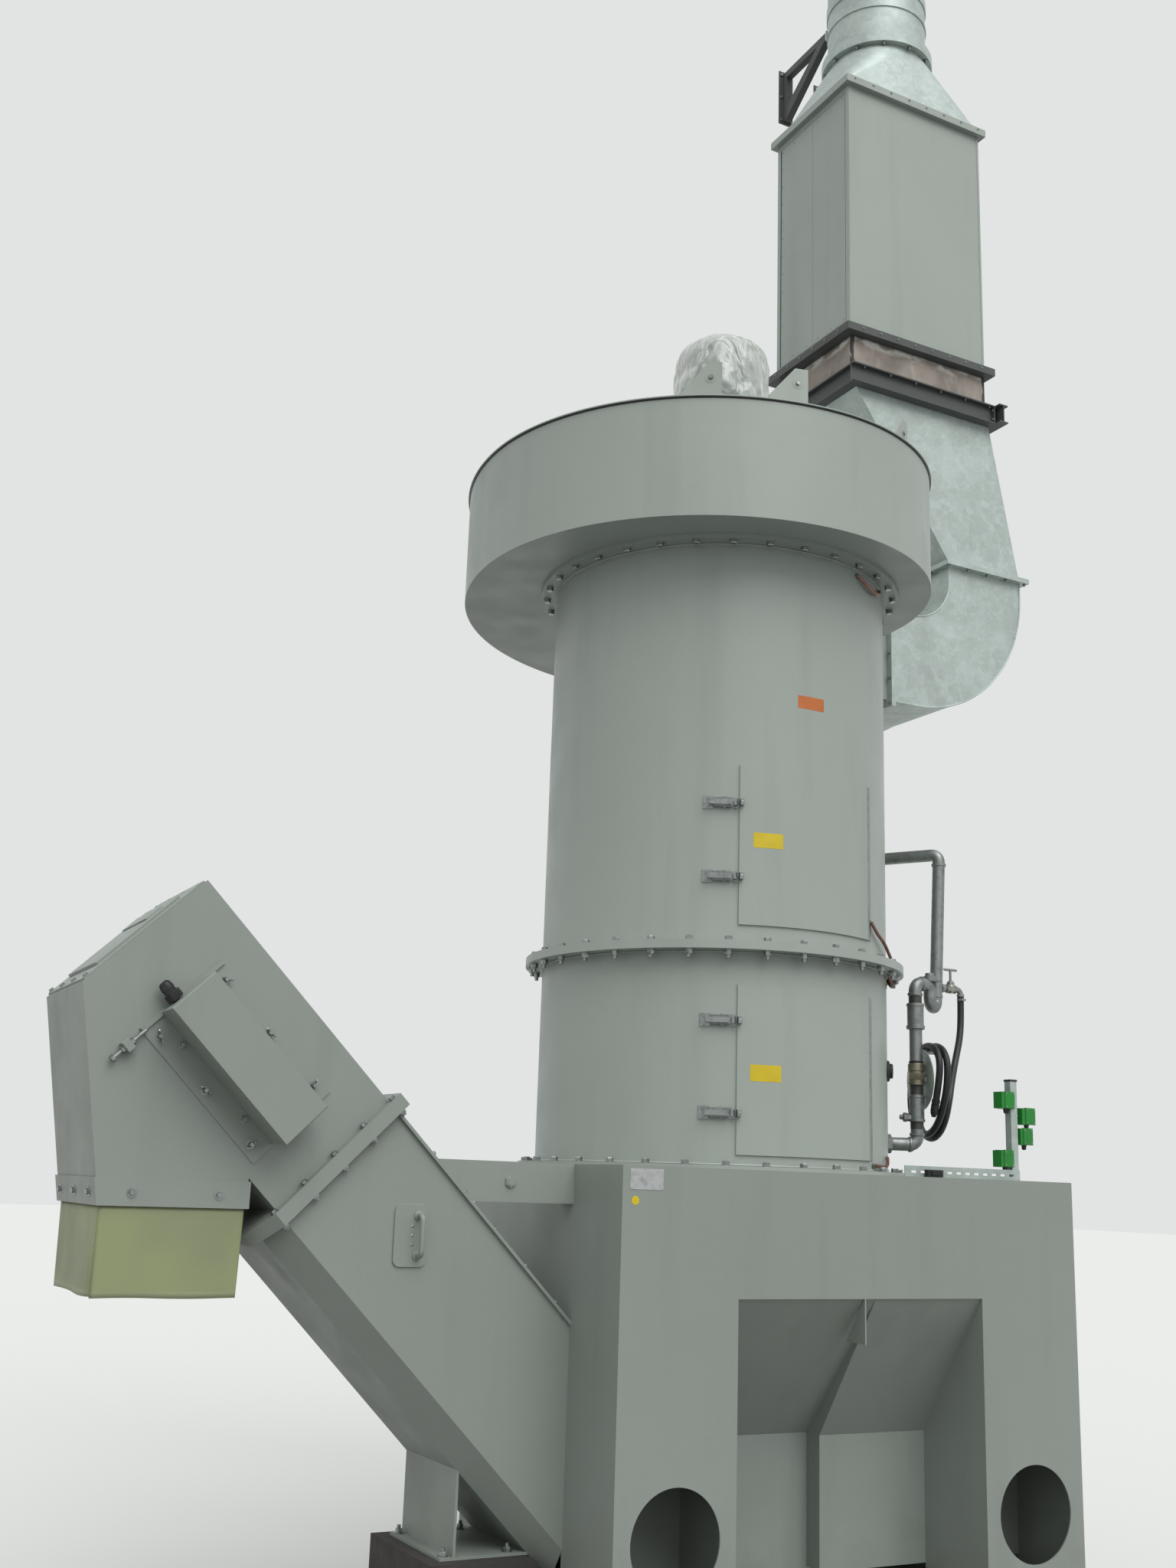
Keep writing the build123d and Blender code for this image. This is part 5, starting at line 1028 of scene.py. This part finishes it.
# Hood lid: raised flap with its bar, screws and rivets
LID_RUN = 3076
flap = Piece("hood_flap", LOWER_PAINTED_SHADE, "grey_paint")
flap.bar(place(on_slope(LID_RUN, -137, CONVEYOR_MIDDLE), UPHILL, toward=BACK), (390, 300, 9), 2)
flap.bar(place(on_slope(LID_RUN + 9, -60, CONVEYOR_MIDDLE), UPHILL, toward=BACK), (300, 60, 5), 2)
flap.done()
lid_fixings = zinc_piece("hood_lid_fixings")
for y in (-590, -428, -266, -104):
    bolt_head(lid_fixings, on_slope(LID_RUN, -342, y), UPHILL, M8_WIDE)
    rivet(lid_fixings, on_slope(LID_RUN, 68, y + 20), UPHILL, 5, 2.4)
lid_fixings.done()

# Pull handle, painted over with its trough: plate with rounded corners, screws and a bent bow
GRAB = Vector((-1422, CONVEYOR_FRONT, 1258))
BOW_X = 21
grab = Piece("trough_handle_dressed", LOWER_PAINTED_SHADE, "grey_paint")
corners = []
for cx, cz, start in ((31, 68, 0), (-31, 68, 90), (-31, -68, 180), (31, -68, 270)):
    corners += arc((cx, cz), 21, start, start + 90, 6)
grab.slab(place(GRAB, FRONT, toward=RIGHT), corners, 6, 1.2)
bow = [(5, 57), *arc((26, 40), 17, 90, 0, 7), *arc((26, -40), 17, 0, -90, 7), (5, -57)]
grab.tube([GRAB + Vector((BOW_X, -out, rise)) for out, rise in bow], 8, 16)
for z in (57, -57):
    grab.turned(place(GRAB + Vector((BOW_X, -6, z)), FRONT), [(14, 0), (13, 5), (9, 7)], 18)
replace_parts(grab.done(), "trough_handle")
grab_screws = zinc_piece("handle_screws")
for z in (-26, 0, 26):
    rivet(grab_screws, GRAB + Vector((4, -6, z)), FRONT, 4.5, 2.2)
grab_screws.done()

bracket_plug = Piece("bracket_plug", LOWER_PAINTED_SHADE, "grey_paint")
bracket_plug.turned(place((-1105, CONVEYOR_FRONT, 1420), FRONT), [(19, -4), (19, 5), (17, 8)], 6)
bracket_plug.turned(place((-1105, CONVEYOR_FRONT - 7, 1420), FRONT), [(11, 0), (11, 3), (0, 3)], 18)
bracket_plug.done()


# Soft pieces: skirt at the discharge, cloth of the flexible joint, film over the fan motor
def sheet_of(name, material, columns, rows, shape, thickness):
    """Closed sleeve of points given by shape(u, v), u round it and v up it, both 0 to 1."""
    mesh = bmesh.new()
    grid = []
    for r in range(rows + 1):
        grid.append([mesh.verts.new(shape(c / columns, r / rows) * MM) for c in range(columns)])
    for low, high in zip(grid, grid[1:]):
        for c in range(columns):
            after = (c + 1) % columns
            mesh.faces.new((low[c], low[after], high[after], high[c]))
    bmesh.ops.remove_doubles(mesh, verts=mesh.verts[:], dist=0.00001)
    data = bpy.data.meshes.new(name)
    mesh.to_mesh(data)
    mesh.free()
    data.shade_smooth()
    data.materials.append(material)
    made = add_object(name, data)
    skin = made.modifiers.new("thickness", "SOLIDIFY")
    skin.thickness = thickness * MM
    skin.offset = 0
    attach(made, "collector")
    return made


def around_box(left, right, front, back, share, bend):
    """Point and outward normal on a rectangle with bent corners; share runs round it from 0 to 1."""
    corners = [Vector(c) for c in ((left, front, 0), (right, front, 0), (right, back, 0), (left, back, 0))]
    normals = (FRONT, RIGHT, BACK, LEFT)
    way = (share % 1) * 2 * (right - left + back - front)
    side = 0
    while way > (corners[(side + 1) % 4] - corners[side]).length:
        way -= (corners[(side + 1) % 4] - corners[side]).length
        side += 1
    edge = corners[(side + 1) % 4] - corners[side]
    spot = corners[side] + edge.normalized() * way
    to_corner = min(way, edge.length - way)
    beside = normals[side - 1] if way < edge.length / 2 else normals[(side + 1) % 4]
    normal = normals[side]
    if to_corner < bend:
        near = 1 - to_corner / bend
        spot = spot - normal * (0.3 * bend * near * near)
        normal = (normal + beside * near).normalized()
    return spot, normal


SKIRT = Surface("skirt_sheet", linear(138, 145, 106), 0.36)
SKIRT.patches(linear(128, 134, 108), SKIRT.noise(3, 2), 0.42, 0.62, 0.7)
SKIRT.tint(linear(152, 160, 126), SKIRT.height_share(1.094, 1.102))
SKIRT.rough(SKIRT.noise(6, 3), 0.48, 0.62)
SKIRT.bump(SKIRT.noise(5, 2, (1, 1, 0.3)), 0.004)
CLOTH = Surface("joint_cloth", linear(150, 142, 134), 0.85)
CLOTH.patches(linear(112, 104, 98), CLOTH.noise(5, 6), 0.46, 0.72, 0.8)
CLOTH.patches(linear(178, 170, 160), CLOTH.noise(18, 4, (1, 1, 0.4)), 0.54, 0.7, 0.5)
upper = CLOTH.node("ShaderNodeMath", {0: 1.0, 1: CLOTH.height_share(5.508, 5.540)}, operation="SUBTRACT")
smears = CLOTH.remap(CLOTH.noise(9, 4, (1, 1, 2.2)), 0.44, 0.56)
CLOTH.tint(linear(214, 212, 206), CLOTH.product(upper.outputs[0], smears))
CLOTH.bump(CLOTH.noise(900, 1), 0.0005)
CLOTH.bump(CLOTH.noise(16, 4), 0.003)
FILM = Surface("film", linear(168, 174, 170), 0.24, Sheen_Weight=0.6, Coat_Weight=0.3)
FILM.patches(linear(122, 130, 122), FILM.noise(5, 4, (1, 1, 1.6), 1.5), 0.5, 0.66, 0.75)
FILM.patches(linear(206, 208, 206), FILM.noise(9, 3, (2, 2, 0.7), 2.5), 0.56, 0.66, 0.8)
FILM.bump(FILM.noise(4.5, 2, (1.6, 1.6, 0.7), 1.6), 0.05)
FILM.bump(FILM.noise(45, 3), 0.002)


def skirt_shape(u, v):
    """Four hanging sides that waver a little more towards the bottom; the corner at the front left curls."""
    spot, normal = around_box(-2326, -1918, CONVEYOR_FRONT, CONVEYOR_BACK, u, 14)
    hang = 1 - v
    wave = 5 * hang * sin(u * 21 + 0.6) + 2.5 * hang * sin(u * 47 + 2)
    curl = 14 * max(0, 1 - abs(u - 0.985) * 40) * hang * hang
    spot = spot + normal * (0.6 * wave - 4 - 3 * hang - curl)
    return Vector((spot.x, spot.y, 1083 + 239 * v + 1.5 * sin(u * 33) * hang))


def cloth_shape(u, v):
    """Stretched band, pillowed between its edges, with shallow creases."""
    spot, normal = around_box(1198, 2042, 685, 1295, u, 16)
    crease = noise.noise(Vector((u * 34, v * 2.4, 3))) * 5 + noise.noise(Vector((u * 90, v * 5, 9))) * 2
    spot = spot + normal * (sin(pi * v) * (4 + crease))
    return Vector((spot.x, spot.y, 5393 + 166 * v))


# Film bag over the motor: straight up to a share of its rows, then a quarter round, then a flat crown
BAG_SIDE = 552
BAG_TOP = 662
BAG_RADIUS = 202
BAG_FLAT = 92
BAG_ROUND = BAG_TOP - BAG_SIDE
SIDE_ROWS = 0.62
ROUND_ROWS = 0.24


def film_shape(u, v):
    """Film pulled over the motor: rounded crown, deep folds that gather towards the foot."""
    angle = 2 * pi * u
    if v < SIDE_ROWS:
        height, radius = BAG_SIDE * v / SIDE_ROWS, BAG_RADIUS
    elif v < SIDE_ROWS + ROUND_ROWS:
        turn = (v - SIDE_ROWS) / ROUND_ROWS * pi / 2
        height, radius = BAG_SIDE + BAG_ROUND * sin(turn), BAG_FLAT + BAG_ROUND * cos(turn)
    else:
        height, radius = BAG_TOP, BAG_FLAT * (1 - v) / (1 - SIDE_ROWS - ROUND_ROWS)
    share = min(1, radius / 200)
    foot = max(0, 1 - v / SIDE_ROWS)
    about = Vector((cos(angle), sin(angle), 0))
    folds = 7 * sin(9 * angle + 5 * v + 2 * noise.noise(about * 2 + UP * v * 3))
    slack = 10 * noise.noise(about * 1.6 + UP * height / 160)
    fine = 7 * noise.noise(about * 5 + Vector((height / 90, 0, height / 55)))
    dip = (1 - share) * 10 * noise.noise(about * radius / 90 + UP * 4)
    spot = about * (radius + share * (folds * foot + slack + fine - 8))
    return spot + UP * (SCROLL_TOP + 1 + height + dip)


skirt = sheet_of("discharge_skirt_sheet", SKIRT.material, 150, 14, skirt_shape, 2.2)
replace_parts(skirt, "discharge_skirt")

cloth = sheet_of("compensator_cloth", CLOTH.material, 260, 14, cloth_shape, 2.5)
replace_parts(cloth, "compensator")
CORNER_ANGLE = [(-3, -3), (13, -3), (13, 0), (0, 0), (0, 13), (-3, 13)]
CLAMP_BAR = (38, 9, 12)
bindings = Piece("compensator_bindings", DARK_BINDING)
for x, sx in ((1197, 1), (2043, -1)):
    for y, sy in ((684, 1), (1296, -1)):
        profile = [(x + sx * a, y + sy * b) for a, b in CORNER_ANGLE]
        bindings.slab(place((0, 0, 5393), UP, toward=RIGHT), profile, 166)
for x in (1392, 1560, 1756):
    bindings.bar(place((x, 681, 5398), FRONT, toward=RIGHT), CLAMP_BAR, 2)
for y in (840, 1060):
    bindings.bar(place((1195, y, 5398), LEFT, toward=BACK), CLAMP_BAR, 2)
binding_piece = bindings.done()

film = sheet_of("motor_film_wrap", FILM.material, 120, 60, film_shape, 1.2)
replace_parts(film, "motor_film")


# Studio: pale floor and world, one soft sun. The floor sends little light back up.
def by_ray(tree, lighting, shown, output):
    """One shader for rays that show it, from the camera, off metal or through glass; one for the rest."""
    rays = tree.nodes.new("ShaderNodeLightPath")
    total = rays.outputs["Is Camera Ray"]
    for name in ("Is Glossy Ray", "Is Transmission Ray"):
        both = tree.nodes.new("ShaderNodeMath")
        both.operation = "MAXIMUM"
        tree.links.new(total, both.inputs[0])
        tree.links.new(rays.outputs[name], both.inputs[1])
        total = both.outputs[0]
    choice = tree.nodes.new("ShaderNodeMixShader")
    tree.links.new(total, choice.inputs["Fac"])
    tree.links.new(lighting.outputs[0], choice.inputs[1])
    tree.links.new(shown.outputs[0], choice.inputs[2])
    tree.links.new(choice.outputs[0], output.inputs["Surface"])


floor_data = bpy.data.meshes.new("studio_floor")
floor_data.from_pydata([(-60, -60, 0), (60, -60, 0), (60, 60, 0), (-60, 60, 0)], [], [(0, 1, 2, 3)])
floor = add_object("studio_floor", floor_data)
floor.location.z = -0.0005
floor_finish = Surface("studio_floor", linear(206, 207, 206), 0.8)
floor_finish.bump(floor_finish.noise(30, 3), 0.0004)
floor_data.materials.append(floor_finish.material)
floor_tree = floor_finish.tree
dark_floor = floor_tree.nodes.new("ShaderNodeBsdfDiffuse")
dark_floor.inputs["Color"].default_value = (0.2, 0.2, 0.2, 1)
by_ray(floor_tree, dark_floor, floor_finish.shader, floor_tree.nodes["Material Output"])

world = bpy.data.worlds.new("studio")
bpy.context.scene.world = world
world.use_nodes = True
sky = world.node_tree
light = sky.nodes["Background"]
light.inputs["Color"].default_value = (0.97, 0.98, 0.96, 1)
light.inputs["Strength"].default_value = 0.9
shown = sky.nodes.new("ShaderNodeBackground")
shown.inputs["Color"].default_value = linear(226, 228, 228)
shown.inputs["Strength"].default_value = 1.0
by_ray(sky, light, shown, sky.nodes["World Output"])

sun_data = bpy.data.lights.new("soft_sun", "SUN")
sun_data.energy = 1.9
sun_data.angle = radians(50)
sun = add_object("soft_sun", sun_data)
sun.matrix_world = place((0, 0, 12000), (0.02, -0.62, 0.78))
